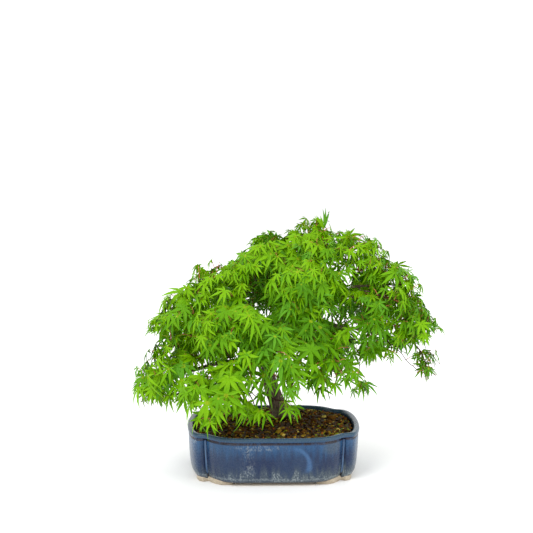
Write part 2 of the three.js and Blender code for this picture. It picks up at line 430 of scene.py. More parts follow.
@dataclass(frozen=True)
class Glaze:
    """Denim blue glaze: brown where it is thin, pale where it pooled, with mineral bloom at the foot, dark
    brown painted shade beside the beads and under the foot, and a partly painted highlight where the wall
    turns under.
    """

    low: Vector                     # corners of the pot's box
    high: Vector
    notch: tuple[float, float]      # place of a notch, as shares of the half sizes
    deep: Colour = srgb(19, 38, 71)
    light: Colour = srgb(32, 74, 114)
    pale: Colour = srgb(84, 116, 146)
    lip: Colour = srgb(48, 70, 79)
    # edge: brown of thin glaze, also the painted shade beside the beads and at the foot
    edge: Colour = srgb(44, 30, 30)
    bloom: Colour = srgb(158, 168, 170)
    slate: Colour = srgb(68, 80, 88)
    clay: Colour = srgb(204, 190, 166)
    curl: Colour = srgb(72, 112, 158)

    def build(self) -> bpy.types.Material:
        """The material, patterned by height and by runs down the wall.

        Returns:
            The glaze.
        """
        material, nodes, shader = new_material("glaze")
        place = nodes.place()
        axes = nodes.add("ShaderNodeSeparateXYZ")
        nodes.link(place, axes.inputs["Vector"])
        wall = self.high.z - self.low.z
        level = nodes.maths("DIVIDE", nodes.minus(axes.outputs["Z"], self.low.z), wall)
        runs = nodes.noise(nodes.stretched((1.0, 1.0, 0.12)), 190.0, 4.0)
        clouds = mottled(nodes, place, 34.0, 420.0)
        wavy = nodes.plus(level, nodes.band(runs, 0.3, 0.7, -0.12, 0.12))
        along = nodes.maths("DIVIDE", nodes.minus(axes.outputs["X"], self.centre.x), self.half.x)
        crust = self.crust(nodes, place, along, wavy, level)
        bare = nodes.band(nodes.plus(level, nodes.band(runs, 0.3, 0.7, -0.002, 0.002)), 0.026, 0.022)
        colour = nodes.mix(nodes.band(wavy, 0.48, 0.9, 0.0, 0.9), self.deep, self.light)
        for share, tint in (
            (nodes.times(clouds.outputs["Broad"], 0.1), self.pale),
            (nodes.band(nodes.apart(along, 0.0), 0.8, 0.95, 0.0, 0.22), self.pale),
            (self.foot_slate(nodes, along, wavy), self.slate),
            (self.spot(nodes, along, level, (0.64, 0.78), (0.13, 0.2), 0.55), self.slate),
            (nodes.times(self.run_mask(nodes, axes), 0.52), self.curl),
            (nodes.times(crust, 0.9), self.bloom),
            (nodes.band(level, 0.9, 0.96, 0.0, 0.7), self.lip),
            # pale bloom along the lower curve, partly a painted highlight
            (self.rim_line(nodes, level, clouds.outputs["Fine"]), self.bloom),
            # dark brown: thin glaze under the lip, painted shade beside the beads, thin glaze and painted
            # shade at the foot
            (self.thin_glaze_and_painted_shade(nodes, place, axes, level), self.edge),
            (bare, self.clay),
        ):
            colour = nodes.mix(share, colour, tint)
        nodes.link(colour, shader.inputs["Base Color"])
        dull = nodes.most(bare, nodes.times(crust, 0.6))
        rough = nodes.plus(nodes.times(dull, 0.5), nodes.band(clouds.outputs["Fine"], 0.0, 1.0, 0.24, 0.34))
        nodes.link(rough, shader.inputs["Roughness"])
        shader.inputs["Specular IOR Level"].default_value = 0.36
        relief = nodes.plus(clouds.outputs["Broad"], nodes.times(crust, 0.8))
        bump(nodes, shader, relief, 0.16 * MM)
        return material

    @property
    def centre(self) -> Vector:
        """The middle of the pot's box."""
        return (self.low + self.high) / 2

    @property
    def half(self) -> Vector:
        """Half the size of the pot's box."""
        return (self.high - self.low) / 2

    def foot_slate(self, nodes: Nodes, along: Socket, wavy: Socket) -> Socket:
        """Share of slate grey towards the foot, more of it on the right."""
        return nodes.times(nodes.band(wavy, 0.42, 0.08), nodes.band(along, -0.6, 0.7, 0.55, 1.0))

    def rim_line(self, nodes: Nodes, level: Socket, grain: Socket) -> Socket:
        """Share of the broken pale line where the wall turns under: pale bloom, and partly a painted
        highlight on that curve.
        """
        line = nodes.times(nodes.band(level, 0.07, 0.1), nodes.band(level, 0.15, 0.115))
        return nodes.times(line, nodes.times(grain, 0.36))

    def spot(self, nodes: Nodes, along: Socket, level: Socket, middle: tuple[float, float],
             reach: tuple[float, float], most: float) -> Socket:
        """A soft spot on the wall, by its place along the pot and up the wall.

        Args:
            nodes: The glaze's nodes.
            along: Place along the pot, -1 to 1.
            level: Place up the wall, 0 to 1.
            middle: The spot's middle.
            reach: How far it spreads each way.
            most: Its share at the middle.

        Returns:
            Its share.
        """
        across = nodes.maths("DIVIDE", nodes.minus(along, middle[0]), reach[0])
        rise = nodes.maths("DIVIDE", nodes.minus(level, middle[1]), reach[1])
        return nodes.band(nodes.squares(across, rise), 1.0, 0.0, 0.0, most)

    def crust(self, nodes: Nodes, place: Socket, along: Socket, wavy: Socket, level: Socket) -> Socket:
        """Speckled mineral bloom: a band above the foot, and a splash up the left of the panels.

        Args:
            nodes: The glaze's nodes.
            place: Place on the pot.
            along: Place along the pot, -1 to 1.
            wavy: Place up the wall, made uneven.
            level: Place up the wall.

        Returns:
            The share of bloom.
        """
        speck = nodes.band(nodes.noise(nodes.stretched((1.0, 1.0, 0.6)), 520.0, 5.0), 0.46, 0.66)
        patches = nodes.band(nodes.noise(place, 38.0, 2.0), 0.36, 0.62, 0.2, 1.0)
        foot = nodes.times(nodes.band(wavy, 0.24, 0.1), nodes.band(level, 0.02, 0.07))
        wide = nodes.times(foot, nodes.band(nodes.apart(along, -0.08), 0.6, 0.1, 0.75, 1.0))
        for rise, middle, reach, most in (
            (level, (-0.9, 0.83), (0.035, 0.06), 1.0),
            (wavy, (-0.3, 0.42), (0.11, 0.5), 0.9),
            (level, (-0.18, 0.8), (0.4, 0.09), 0.6),
        ):
            wide = nodes.most(wide, self.spot(nodes, along, rise, middle, reach, most))
        return nodes.times(nodes.times(wide, patches), speck)

    def thin_glaze_and_painted_shade(self, nodes: Nodes, place: Socket, axes: bpy.types.Node, level: Socket) -> Socket:
        """Dark brown lines: thin glaze under the lip, painted shade in the creases beside each bead, and at
        the foot thin glaze with painted shade under the pot.

        Args:
            nodes: The glaze's nodes.
            place: Place on the pot.
            axes: The node that gives the place along each axis.
            level: Place up the wall.

        Returns:
            The share of brown.
        """
        uneven = nodes.band(nodes.noise(place, 120.0, 3.0), 0.28, 0.5, 0.35, 1.0)
        groove = nodes.times(nodes.band(level, 0.842, 0.864), nodes.band(level, 0.922, 0.9))
        narrowing = nodes.band(level, 0.0, 0.6, 0.93, 0.98)
        sides = []
        for axis, share, half, middle in zip("XY", self.notch, self.half, self.centre):
            off = nodes.apart(axes.outputs[axis], middle)
            sides.append(nodes.minus(off, nodes.times(narrowing, share * half)))
        far = nodes.maths("SQRT", nodes.squares(*sides), 0.0)
        # painted shade: dark brown in the creases either side of each bead
        beside = nodes.times(nodes.band(far, 4.4 * MM, 2.6 * MM), nodes.band(level, 0.86, 0.84))
        # partly thin glaze, partly painted shade where the wall meets the dark gap under the pot
        foot = nodes.band(level, 0.06, 0.025, 0.0, 0.85)
        lines = nodes.most(nodes.most(groove, beside), foot)
        return nodes.times(nodes.times(lines, uneven), 0.9)

    def run_mask(self, nodes: Nodes, axes: bpy.types.Node) -> Socket:
        """A curl of pale glaze on the front panel, shaped like a comma.

        Args:
            nodes: The glaze's nodes.
            axes: The node that gives the place along each axis.

        Returns:
            Its share, from 0 to 1.
        """
        wall = self.high.z - self.low.z
        across = nodes.minus(axes.outputs["X"], self.centre.x + 0.37 * wall)
        rise = nodes.minus(axes.outputs["Z"], self.low.z + 0.43 * wall)
        off = nodes.apart(nodes.maths("SQRT", nodes.squares(across, rise), 0.0), 0.345 * wall)
        width = nodes.band(rise, -0.12 * wall, 0.3 * wall, 0.1 * wall, 0.06 * wall)
        mask = nodes.band(nodes.maths("DIVIDE", off, width), 1.0, 0.1)
        for limit in (
            nodes.band(across, -0.2 * wall, 0.34 * wall),
            nodes.band(rise, -0.21 * wall, -0.09 * wall),
            nodes.band(axes.outputs["Y"], self.low.y + 10 * MM, self.low.y + 6 * MM),
        ):
            mask = nodes.times(mask, limit)
        return mask


@dataclass(frozen=True)
class BeadGlaze:
    """The same glaze on the slim beads, where it runs a little paler."""

    deep: Colour = srgb(44, 74, 112)
    pale: Colour = srgb(78, 108, 142)

    def build(self) -> bpy.types.Material:
        """The material: two blues in long runs."""
        material, nodes, shader = new_material("bead_glaze")
        runs = mottled(nodes, nodes.stretched((1.0, 1.0, 0.3)), 120.0, 600.0)
        nodes.link(nodes.mix(runs.outputs["Broad"], self.deep, self.pale), shader.inputs["Base Color"])
        nodes.link(nodes.band(runs.outputs["Fine"], 0.0, 1.0, 0.28, 0.42), shader.inputs["Roughness"])
        return material


@dataclass(frozen=True)
class BareClay:
    """Unglazed stoneware of the feet."""

    light: Colour = srgb(202, 190, 168)
    dark: Colour = srgb(138, 122, 100)

    def build(self) -> bpy.types.Material:
        """The material: sandy, with darker worn patches."""
        material, nodes, shader = new_material("bare_clay")
        grain = mottled(nodes, nodes.place(), 70.0, 900.0)
        share = nodes.times(nodes.plus(grain.outputs["Broad"], grain.outputs["Fine"]), 0.4)
        nodes.link(nodes.mix(share, self.light, self.dark), shader.inputs["Base Color"])
        shader.inputs["Roughness"].default_value = 0.85
        bump(nodes, shader, grain.outputs["Fine"], 0.2 * MM)
        return material


@dataclass(frozen=True)
class Bark:
    """Grey-brown bark with darker cracks and a touch of green."""

    ridge: Colour = srgb(146, 126, 102)
    crack: Colour = srgb(72, 56, 42)
    algae: Colour = srgb(96, 98, 60)

    def build(self) -> bpy.types.Material:
        """The material, grained along the height."""
        material, nodes, shader = new_material("bark")
        along = nodes.stretched((1.0, 1.0, 0.28))
        grain = mottled(nodes, along, 260.0, 1100.0)
        colour = nodes.mix(grain.outputs["Broad"], self.crack, self.ridge)
        colour = nodes.mix(nodes.times(grain.outputs["Fine"], 0.35), colour, self.crack)
        damp = nodes.band(nodes.noise(nodes.place(), 60.0, 2.0), 0.45, 0.7)
        colour = nodes.mix(nodes.times(damp, 0.5), colour, self.algae)
        nodes.link(colour, shader.inputs["Base Color"])
        nodes.link(nodes.band(grain.outputs["Fine"], 0.0, 1.0, 0.95, 0.75), shader.inputs["Roughness"])
        bump(nodes, shader, grain.outputs["Height"], 0.5 * MM)
        return material


@dataclass(frozen=True)
class PottingMix:
    """Dark damp potting mix."""

    dark: Colour = srgb(40, 24, 8)
    light: Colour = srgb(92, 64, 26)

    def build(self) -> bpy.types.Material:
        """The material: crumbs of two browns."""
        material, nodes, shader = new_material("potting_mix")
        crumbs = mottled(nodes, nodes.place(), 240.0, 800.0)
        share = nodes.times(crumbs.outputs["Height"], 0.4)
        nodes.link(nodes.mix(share, self.dark, self.light), shader.inputs["Base Color"])
        shader.inputs["Roughness"].default_value = 0.95
        bump(nodes, shader, crumbs.outputs["Height"], 0.8 * MM)
        return material


# ------------------------------------------------------------------ the pot


@dataclass
class LobedPot:
    """The glazed pot: a wall raised ring by ring on a four-lobed plan."""

    lobe_steps: int = 16
    corner_steps: int = 12
    panel_steps: int = 6
    notch_along: float = 0.79       # place of a notch, as shares of the half sizes
    notch_across: float = 0.686
    lip_softening: int = 9          # rounds of smoothing of the lip's outline
    lip_from: float = 0.9           # share of the wall's height where the lip begins
    foot_out: float = 1.032         # the feet lap the wall's lower curve: larger outward
    foot_up: float = 2.6            # and upward
    bead: float = 2.2 * MM          # radius of the bead in each notch
    # The wall from the underside out, up, over the lip and down inside: each step is a
    # share of the plan and a share of the wall's height.
    profile: tuple[tuple[float, float], ...] = (
        (0.82, 0.02), (0.9, 0.02), (0.916, 0.026), (0.93, 0.045), (0.942, 0.085), (0.953, 0.13),
        (0.961, 0.19), (0.968, 0.29), (0.974, 0.42), (0.979, 0.56), (0.983, 0.7), (0.985, 0.82),
        (0.984, 0.856), (0.977, 0.868), (0.975, 0.884), (0.98, 0.897), (0.992, 0.905), (0.998, 0.92),
        (1.0, 0.942), (0.998, 0.965), (0.991, 0.985), (0.98, 0.996), (0.966, 0.998), (0.951, 0.992),
        (0.941, 0.975), (0.934, 0.94), (0.929, 0.86), (0.922, 0.6), (0.912, 0.35), (0.885, 0.14), (0.8, 0.11),
    )
    low: Vector = field(init=False)
    high: Vector = field(init=False)
    centre: Vector = field(init=False)
    half: Vector = field(init=False)

    def __post_init__(self) -> None:
        """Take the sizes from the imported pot."""
        self.low, self.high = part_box("pot")
        self.centre = (self.low + self.high) / 2
        self.half = (self.high - self.low) / 2

    def bezier(self, corners: Sequence[tuple[float, float]], steps: int) -> np.ndarray:
        """Points along a cubic curve, its last one left out.

        Args:
            corners: The curve's four control points, as shares of the half sizes.
            steps: How many points.

        Returns:
            One row a point.
        """
        a, b, c, d = (np.array(p) * (self.half.x, self.half.y) for p in corners)
        t = np.linspace(0, 1, steps, endpoint=False)[:, None]
        return a * (1 - t) ** 3 + 3 * b * t * (1 - t) ** 2 + 3 * c * t * t * (1 - t) + d * t ** 3

    def plan(self) -> np.ndarray:
        """The lip's outline about the pot's middle, counter-clockwise from the right end."""
        notch = (self.notch_along, self.notch_across)
        shoulder = (0.42, 0.995)
        quarter = np.vstack([
            self.bezier([(1, 0), (1, notch[1] * 0.66), (0.93, notch[1] * 1.24), notch], self.lobe_steps),
            self.bezier([notch, (notch[0] * 0.95, notch[1] + 0.098), (0.645, 0.995), shoulder],
                        self.corner_steps),
            self.bezier([shoulder, (0.28, 1.0), (0.14, 1.0), (0, 1.0)], self.panel_steps),
            [(0.0, self.half.y)],
        ])
        back = np.vstack([quarter, (quarter[:-1] * (-1, 1))[::-1]])[:-1]
        return np.vstack([back, -back])

    def ring(self, share: float, height: float) -> np.ndarray:
        """The plan at a share of its size and a share of the wall's height."""
        outline = self.plan() * share
        level = self.low.z + height * (self.high.z - self.low.z)
        return np.column_stack([outline + (self.centre.x, self.centre.y), np.full(len(outline), level)])

    def wall(self) -> Piece:
        """The body, raised from its underside by extruding and sizing one ring after another.

        Returns:
            The pot.
        """
        count = len(self.plan())
        deselect_all()
        bpy.ops.mesh.primitive_circle_add(vertices=count, radius=self.half.x, fill_type="NOTHING")
        pot = bpy.context.object
        pot.name = pot.data.name = "pot_body"
        first_share, first_height = self.profile[0]
        place_corners(pot.data, self.ring(first_share, first_height))
        edit_all()
        bpy.ops.mesh.edge_face_add()
        share, height = first_share, first_height
        tall = self.high.z - self.low.z
        for next_share, next_height in self.profile[1:]:
            rise = (next_height - height) * tall
            bpy.ops.mesh.extrude_edges_move(TRANSFORM_OT_translate={"value": (0, 0, rise)})
            size = next_share / share
            bpy.ops.transform.resize(value=(size, size, 1), center_override=tuple(self.centre))
            share, height = next_share, next_height
        bpy.ops.mesh.edge_face_add()
        bpy.ops.mesh.select_all(action="SELECT")
        bpy.ops.mesh.normals_make_consistent(inside=False)
        stop_editing()
        self.soften(pot)
        return pot

    def soften(self, pot: Piece) -> None:
        """Round off the notches in the lip's rings, where thick glaze fills them.

        Args:
            pot: The raised wall.
        """
        plan = self.plan()
        soft = plan
        for _ in range(self.lip_softening):
            soft = (np.roll(soft, 1, axis=0) + 2 * soft + np.roll(soft, -1, axis=0)) / 4
        places = corners_of(pot.data)
        level = (places[:, 2] - self.low.z) / (self.high.z - self.low.z)
        middle = np.array(self.centre.xy)
        for share, height in self.profile:
            if height < self.lip_from:
                continue
            ring = np.flatnonzero(np.abs(level - height) < 0.001)
            apart = np.linalg.norm((places[ring, :2] - middle)[:, None] - plan[None] * share, axis=2)
            places[ring, :2] = soft[apart.argmin(1)] * share + middle
        place_corners(pot.data, places)

    def notches(self) -> list[tuple[int, int]]:
        """The signs of the four notches, along and across."""
        return [(1, 1), (-1, 1), (-1, -1), (1, -1)]

    def on_wall(self, notch: Vector, step: tuple[float, float]) -> Vector:
        """The place of a step of the wall in a notch.

        Args:
            notch: The notch's place at the lip, from the pot's middle.
            step: Share of the plan and share of the wall's height.

        Returns:
            The place.
        """
        level = self.low.z + step[1] * (self.high.z - self.low.z)
        return self.centre.xy.to_3d() + notch * step[0] + UP_VECTOR * level

    def beads(self) -> Piece:
        """The slim bead that runs down each notch, drawn out step by step along the wall.

        Returns:
            The four beads as one piece.
        """
        path = [(s, h) for s, h in self.profile if 0.1 < h < 0.87 and s > 0.93]
        made = []
        for along, across in self.notches():
            away = Vector((along * self.notch_along, across * self.notch_across, 0))
            notch = Vector((away.x * self.half.x, away.y * self.half.y, 0))
            places = [self.on_wall(notch, step) for step in path]
            deselect_all()
            bpy.ops.mesh.primitive_circle_add(
                vertices=10, radius=self.bead * 0.5, fill_type="NGON", location=places[0])
            bead = bpy.context.object
            bpy.ops.object.transform_apply(location=True)
            edit_all()
            for i, (here, there) in enumerate(zip(places, places[1:])):
                bpy.ops.mesh.extrude_region_move(TRANSFORM_OT_translate={"value": there - here})
                size = 2.0 if i == 0 else (0.5 if i == len(path) - 2 else 1.0)
                bpy.ops.transform.resize(value=(size, size, 1), center_override=there)
            bpy.ops.mesh.select_all(action="SELECT")
            bpy.ops.mesh.normals_make_consistent(inside=False)
            stop_editing()
            made.append(bead)
        return joined(made, "pot_beads")

    def feet(self) -> Piece:
        """The four bracket feet, with their edges rounded.

        Returns:
            The feet as one piece.
        """
        names = [n for n in frame["nodes"] if n.startswith("foot_")]
        made = []
        for name in names:
            foot = copy_of(name, f"rounded_{name}")
            edit_all()
            bpy.ops.mesh.dissolve_limited(angle_limit=math.radians(1))
            bpy.ops.transform.resize(value=(self.foot_out, self.foot_out, self.foot_up),
                                     center_override=(self.centre.x, self.centre.y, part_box(name)[0].z))
            stop_editing()
            apply_modifier(foot, "BEVEL", width=1.6 * MM, segments=4, limit_method="ANGLE")
            made.append(foot)
        return joined(made, "pot_feet")

    def build(self) -> None:
        """Make and dress the pot, its beads and its feet."""
        glaze = Glaze(self.low, self.high, (self.notch_along, self.notch_across)).build()
        pot = self.wall()
        smooth(pot, 40)
        pot.data.materials.append(glaze)
        stand_for(pot, ["pot"])
        beads = self.beads()
        smooth(beads, 60)
        beads.data.materials.append(BeadGlaze().build())
        stand_for(beads, [])
        feet = self.feet()
        smooth(feet, 40)
        feet.data.materials.append(BareClay().build())
        stand_for(feet, [n for n in frame["nodes"] if n.startswith("foot_")])


def joined(pieces: list[Piece], name: str) -> Piece:
    """Several pieces made one.

    Args:
        pieces: The pieces, each with its own mesh.
        name: The name of the whole.

    Returns:
        The joined piece.
    """
    deselect_all()
    for piece in pieces:
        piece.select_set(True)
    bpy.context.view_layer.objects.active = pieces[0]
    bpy.ops.object.join()
    whole = bpy.context.object
    whole.name = whole.data.name = name
    return whole


# ------------------------------------------------------------------ the soil


@dataclass
class Soil:
    """Crumbly potting mix in the pot, strewn with grains, chips and a little moss."""

    cuts: int = 9
    crumb: float = 1.3 * MM         # how far the surface rises and falls
    grains: int = 2600
    grain: float = 1.35 * MM        # usual radius of a grain
    moss: int = 420                 # tufts of moss
    chips: float = 0.3              # share of grains that are long flat chips
    deepest: float = 9.0 * MM       # how far below the soil's top a grain may lie
    tints: tuple[tuple[str, tuple[int, int, int], float], ...] = (
        ("mix_black", (26, 14, 4), 0.2), ("mix_brown", (68, 40, 12), 0.3), ("mix_umber", (102, 66, 22), 0.23),
        ("mix_ochre", (138, 108, 30), 0.12), ("mix_straw", (190, 168, 84), 0.04),
        ("mix_orange", (160, 90, 34), 0.03), ("mix_olive", (124, 128, 26), 0.08),
    )

    def surface(self) -> Piece:
        """The body of soil, its top broken into crumbs.

        Returns:
            The soil.
        """
        soil = copy_of("soil", "soil_body")
        bpy.ops.object.mode_set(mode="EDIT")
        bpy.ops.mesh.select_all(action="DESELECT")
        stop_editing()
        for face in soil.data.polygons:
            face.select = face.normal.z > 0.5
        bpy.ops.object.mode_set(mode="EDIT")
        bpy.ops.mesh.subdivide(number_cuts=self.cuts)
        stop_editing()
        places = corners_of(soil.data)
        top = normals_of(soil.data)[:, 2] > 0.7
        for i in np.flatnonzero(top):
            coarse = noise.fractal(Vector(places[i] * 130), 0.9, 2.1, 3)
            places[i, 2] += self.crumb * (0.7 * coarse - 0.25)
        place_corners(soil.data, places)
        return soil

    def strewn(self, soil: Piece, rng: Rng) -> Piece:
        """Grains, chips and moss lying on the soil, as one mesh of small lumps.

        Args:
            soil: The soil that they lie on.
            rng: The seeded source of chance.

        Returns:
            The grains.
        """
        deselect_all()
        bpy.ops.mesh.primitive_ico_sphere_add(subdivisions=1, radius=1)
        lump = bpy.context.object
        shape = corners_of(lump.data)
        sides = np.array([list(p.vertices) for p in lump.data.polygons])
        bpy.data.objects.remove(lump)
        tree = BVHTree.FromObject(soil, bpy.context.evaluated_depsgraph_get())
        low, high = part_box("soil")
        shares = np.array([t[2] for t in self.tints])
        vertices, faces, slots = [], [], []
        count = self.grains + self.moss
        while len(vertices) < count:
            spot = Vector((rng.uniform(low.x, high.x), rng.uniform(low.y, high.y), high.z + 0.05))
            hit = tree.ray_cast(spot, -UP_VECTOR)[0]
            if hit is None or hit.z < high.z - self.deepest:
                continue
            mossy = len(vertices) >= self.grains
            size = self.grain * rng.lognormal(0, 0.42) * (0.55 if mossy else 1)
            chip = rng.random() < self.chips
            stretch = np.array([rng.uniform(1.6, 2.8) if chip else 1.1, 1.0, 0.45 if chip else 0.75]) * size
            lumpy = shape * rng.uniform(0.75, 1.15, (len(shape), 1)) * stretch
            if mossy:
                middle = Vector(((low.x + high.x) / 2, (low.y + high.y) / 2, hit.z))
                edge = np.array(hit - middle) / np.array(((high.x - low.x) / 2, (high.y - low.y) / 2, 1.0))
                if np.linalg.norm(edge[:2]) < rng.uniform(0.72, 1.1):
                    continue
            turned = lumpy @ turn(rng.uniform(0, math.tau), rng.normal(0, 0.35), rng.normal(0, 0.35)).T
            vertices.append(turned + np.array(hit) + (0, 0, size * 0.2))
            faces.append(sides + len(shape) * (len(vertices) - 1))
            slot = len(self.tints) if mossy else rng.choice(len(self.tints), p=shares / shares.sum())
            slots.extend([slot] * len(sides))
        grains = mesh_piece("soil_grains", np.vstack(vertices), np.vstack(faces).tolist(), np.array(slots))
        for name, colour, _ in self.tints:
            grains.data.materials.append(LeafTint(name, srgb(*colour), 0.9, 0.05).build())
        grains.data.materials.append(LeafTint("moss", srgb(96, 122, 28), 0.8).build())
        return grains

    def build(self, rng: Rng) -> None:
        """Make and dress the soil."""
        soil = self.surface()
        smooth(soil, 50)
        soil.data.materials.append(PottingMix().build())
        stand_for(soil, ["soil"])
        stand_for(self.strewn(soil, rng), [])


def turn(yaw: float, pitch: float, roll: float) -> np.ndarray:
    """The matrix of a roll, then a pitch, then a yaw, in radians."""
    cy, sy = math.cos(yaw), math.sin(yaw)
    cp, sp = math.cos(pitch), math.sin(pitch)
    cr, sr = math.cos(roll), math.sin(roll)
    about_z = np.array([[cy, -sy, 0], [sy, cy, 0], [0, 0, 1]])
    about_y = np.array([[cp, 0, sp], [0, 1, 0], [-sp, 0, cp]])
    about_x = np.array([[1, 0, 0], [0, cr, -sr], [0, sr, cr]])
    return about_z @ about_y @ about_x


# ------------------------------------------------------------------ the crown's space


class Part(Enum):
    """Parts of the crown, each a leaf piece of its own."""

    TOP = ("apex_shoot", "apex", "top_left", "top_right", "centre", "back_top", "back_high_left")
    LEFT = ("shoulder_left", "mid_left", "centre_left", "left_inner", "low_left")
    RIGHT = ("right_upper", "right", "right_mid", "right_tip", "right_low", "right_drop")
    FRONT = ("front_high", "front", "low_front", "low_front_left")
    BACK = ("back", "back_left", "back_right", "back_low_left", "back_low_right")


@dataclass
class Canopy:
    """The masses of foliage as space to grow in."""

    layer: float = 22.0 * MM        # height from one layer of twigs to the next
    layer_share: float = 0.5        # share of that height which twigs fill
    layer_fall: float = 0.22        # how far layers fall outward, as a slope
    layered_from: float = 3.6       # a mass at least this many layers high grows in layers
    inner: float = 0.35             # share of points kept below the well-filled shell
    fill: dict[str, float] = field(default_factory=lambda: {    # how thickly each mass is filled
        "apex_shoot": 1.0, "apex": 0.58, "top_left": 0.3, "top_right": 0.42, "back_top": 0.38,
        "centre": 0.85, "centre_left": 0.7, "shoulder_left": 0.28, "mid_left": 0.22, "left_inner": 0.5,
        "low_left": 0.3, "low_front_left": 0.17, "front": 0.2, "low_front": 0.42, "front_high": 0.4,
        "right_upper": 0.42, "right": 0.62, "right_mid": 0.36, "right_low": 0.15, "right_drop": 0.8,
        "right_tip": 1.25, "back": 0.95, "back_high_left": 0.6, "back_left": 0.28, "back_right": 0.36,
        "back_low_left": 0.24, "back_low_right": 0.22,
    })
    names: list[str] = field(init=False)
    trees: list[BVHTree] = field(init=False)
    boxes: list[tuple[Vector, Vector]] = field(init=False)

    def __post_init__(self) -> None:
        """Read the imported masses."""
        self.names = sorted(n for n in frame["nodes"] if n.startswith("foliage_"))
        self.trees = []
        for name in self.names:
            mesh = frame["nodes"][name].data
            faces = [list(p.vertices) for p in mesh.polygons]
            self.trees.append(BVHTree.FromPolygons([v.co for v in mesh.vertices], faces))
        self.boxes = [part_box(name) for name in self.names]

    def depth(self, mass: int, point: Sequence[float]) -> float:
        """How far a point lies inside a mass, in metres; below 0 outside it."""
        near, normal, _, distance = self.trees[mass].find_nearest(Vector(point))
        return distance if (Vector(point) - near).dot(normal) < 0 else -distance

    def outside(self, point: np.ndarray) -> float:
        """How far a point stands out of the whole crown, in metres; 0 or less inside it."""
        best = 1.0
        here = Vector(point)
        for mass, (low, high) in enumerate(self.boxes):
            margin = best
            if any(here[k] < low[k] - margin or here[k] > high[k] + margin for k in range(3)):
                continue
            best = min(best, -self.depth(mass, point))
            if best <= 0:
                return best
        return best

    def scatter(self, spacing: float, shell: float, rng: Rng) -> np.ndarray:
        """Points for the twigs to reach for, mostly in the outer layer of each mass.

        Args:
            spacing: Usual distance between points.
            shell: Thickness of the well-filled layer.
            rng: The seeded source of chance.

        Returns:
            The points, one row each.
        """
        points = []
        for mass, (low, high) in enumerate(self.boxes):
            fill = self.fill[self.names[mass].removeprefix("foliage_")]
            room = (high.x - low.x) * (high.y - low.y) * (high.z - low.z)
            layered = high.z - low.z > self.layered_from * self.layer
            tries = fill * room / spacing ** 3 / (self.layer_share if layered else 1.0)
            start = rng.uniform(0, 1)
            for _ in range(int(tries) + 8):
                point = [rng.uniform(low[k], high[k]) for k in range(3)]
                level = (point[2] + self.layer_fall * math.hypot(point[0], point[1])) / self.layer + start
                if layered and level % 1 > self.layer_share:
                    continue
                depth = self.depth(mass, point)
                keep = 0.0 if depth < 0 else (1.0 if depth < shell else self.inner)
                if rng.random() < keep:
                    points.append(point)
        return np.array(points)


# ------------------------------------------------------------------ the wood


def centre_line(node: str, stations: int) -> Line:
    """Middle points and radii of a packed limb, cut across its longest direction.

    Args:
        node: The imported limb.
        stations: How many cuts.

    Returns:
        The points, one row each, and the radius at each.
    """
    mesh = frame["nodes"][node].data
    places = corners_of(mesh)
    edges = np.array([list(e.vertices) for e in mesh.edges])
    middle = places.mean(0)
    axis = np.linalg.svd(places - middle, full_matrices=False)[2][0]
    along = (places - middle) @ axis
    start, end = along[edges[:, 0]], along[edges[:, 1]]
    reach = along.max() - along.min()
    points, radii = [], []
    for level in np.linspace(along.min() + 0.02 * reach, along.max() - 0.02 * reach, stations):
        crossing = (start - level) * (end - level) < 0
        share = ((level - start) / np.where(end == start, 1, end - start))[crossing, None]
        cut = places[edges[crossing, 0]] * (1 - share) + places[edges[crossing, 1]] * share
        spread = (cut.max(0) + cut.min(0)) / 2
        points.append(spread)
        radii.append(np.linalg.norm(cut - spread, axis=1).mean())
    return np.array(points), np.array(radii)


def evenly(points: np.ndarray, radii: np.ndarray, step: float) -> Line:
    """A line's points and radii again, a step apart."""
    lengths = np.concatenate([[0], np.cumsum(np.linalg.norm(np.diff(points, axis=0), axis=1))])
    stations = np.linspace(0, lengths[-1], max(2, round(lengths[-1] / step) + 1))
    again = np.column_stack([np.interp(stations, lengths, points[:, k]) for k in range(3)])
    return again, np.interp(stations, lengths, radii)


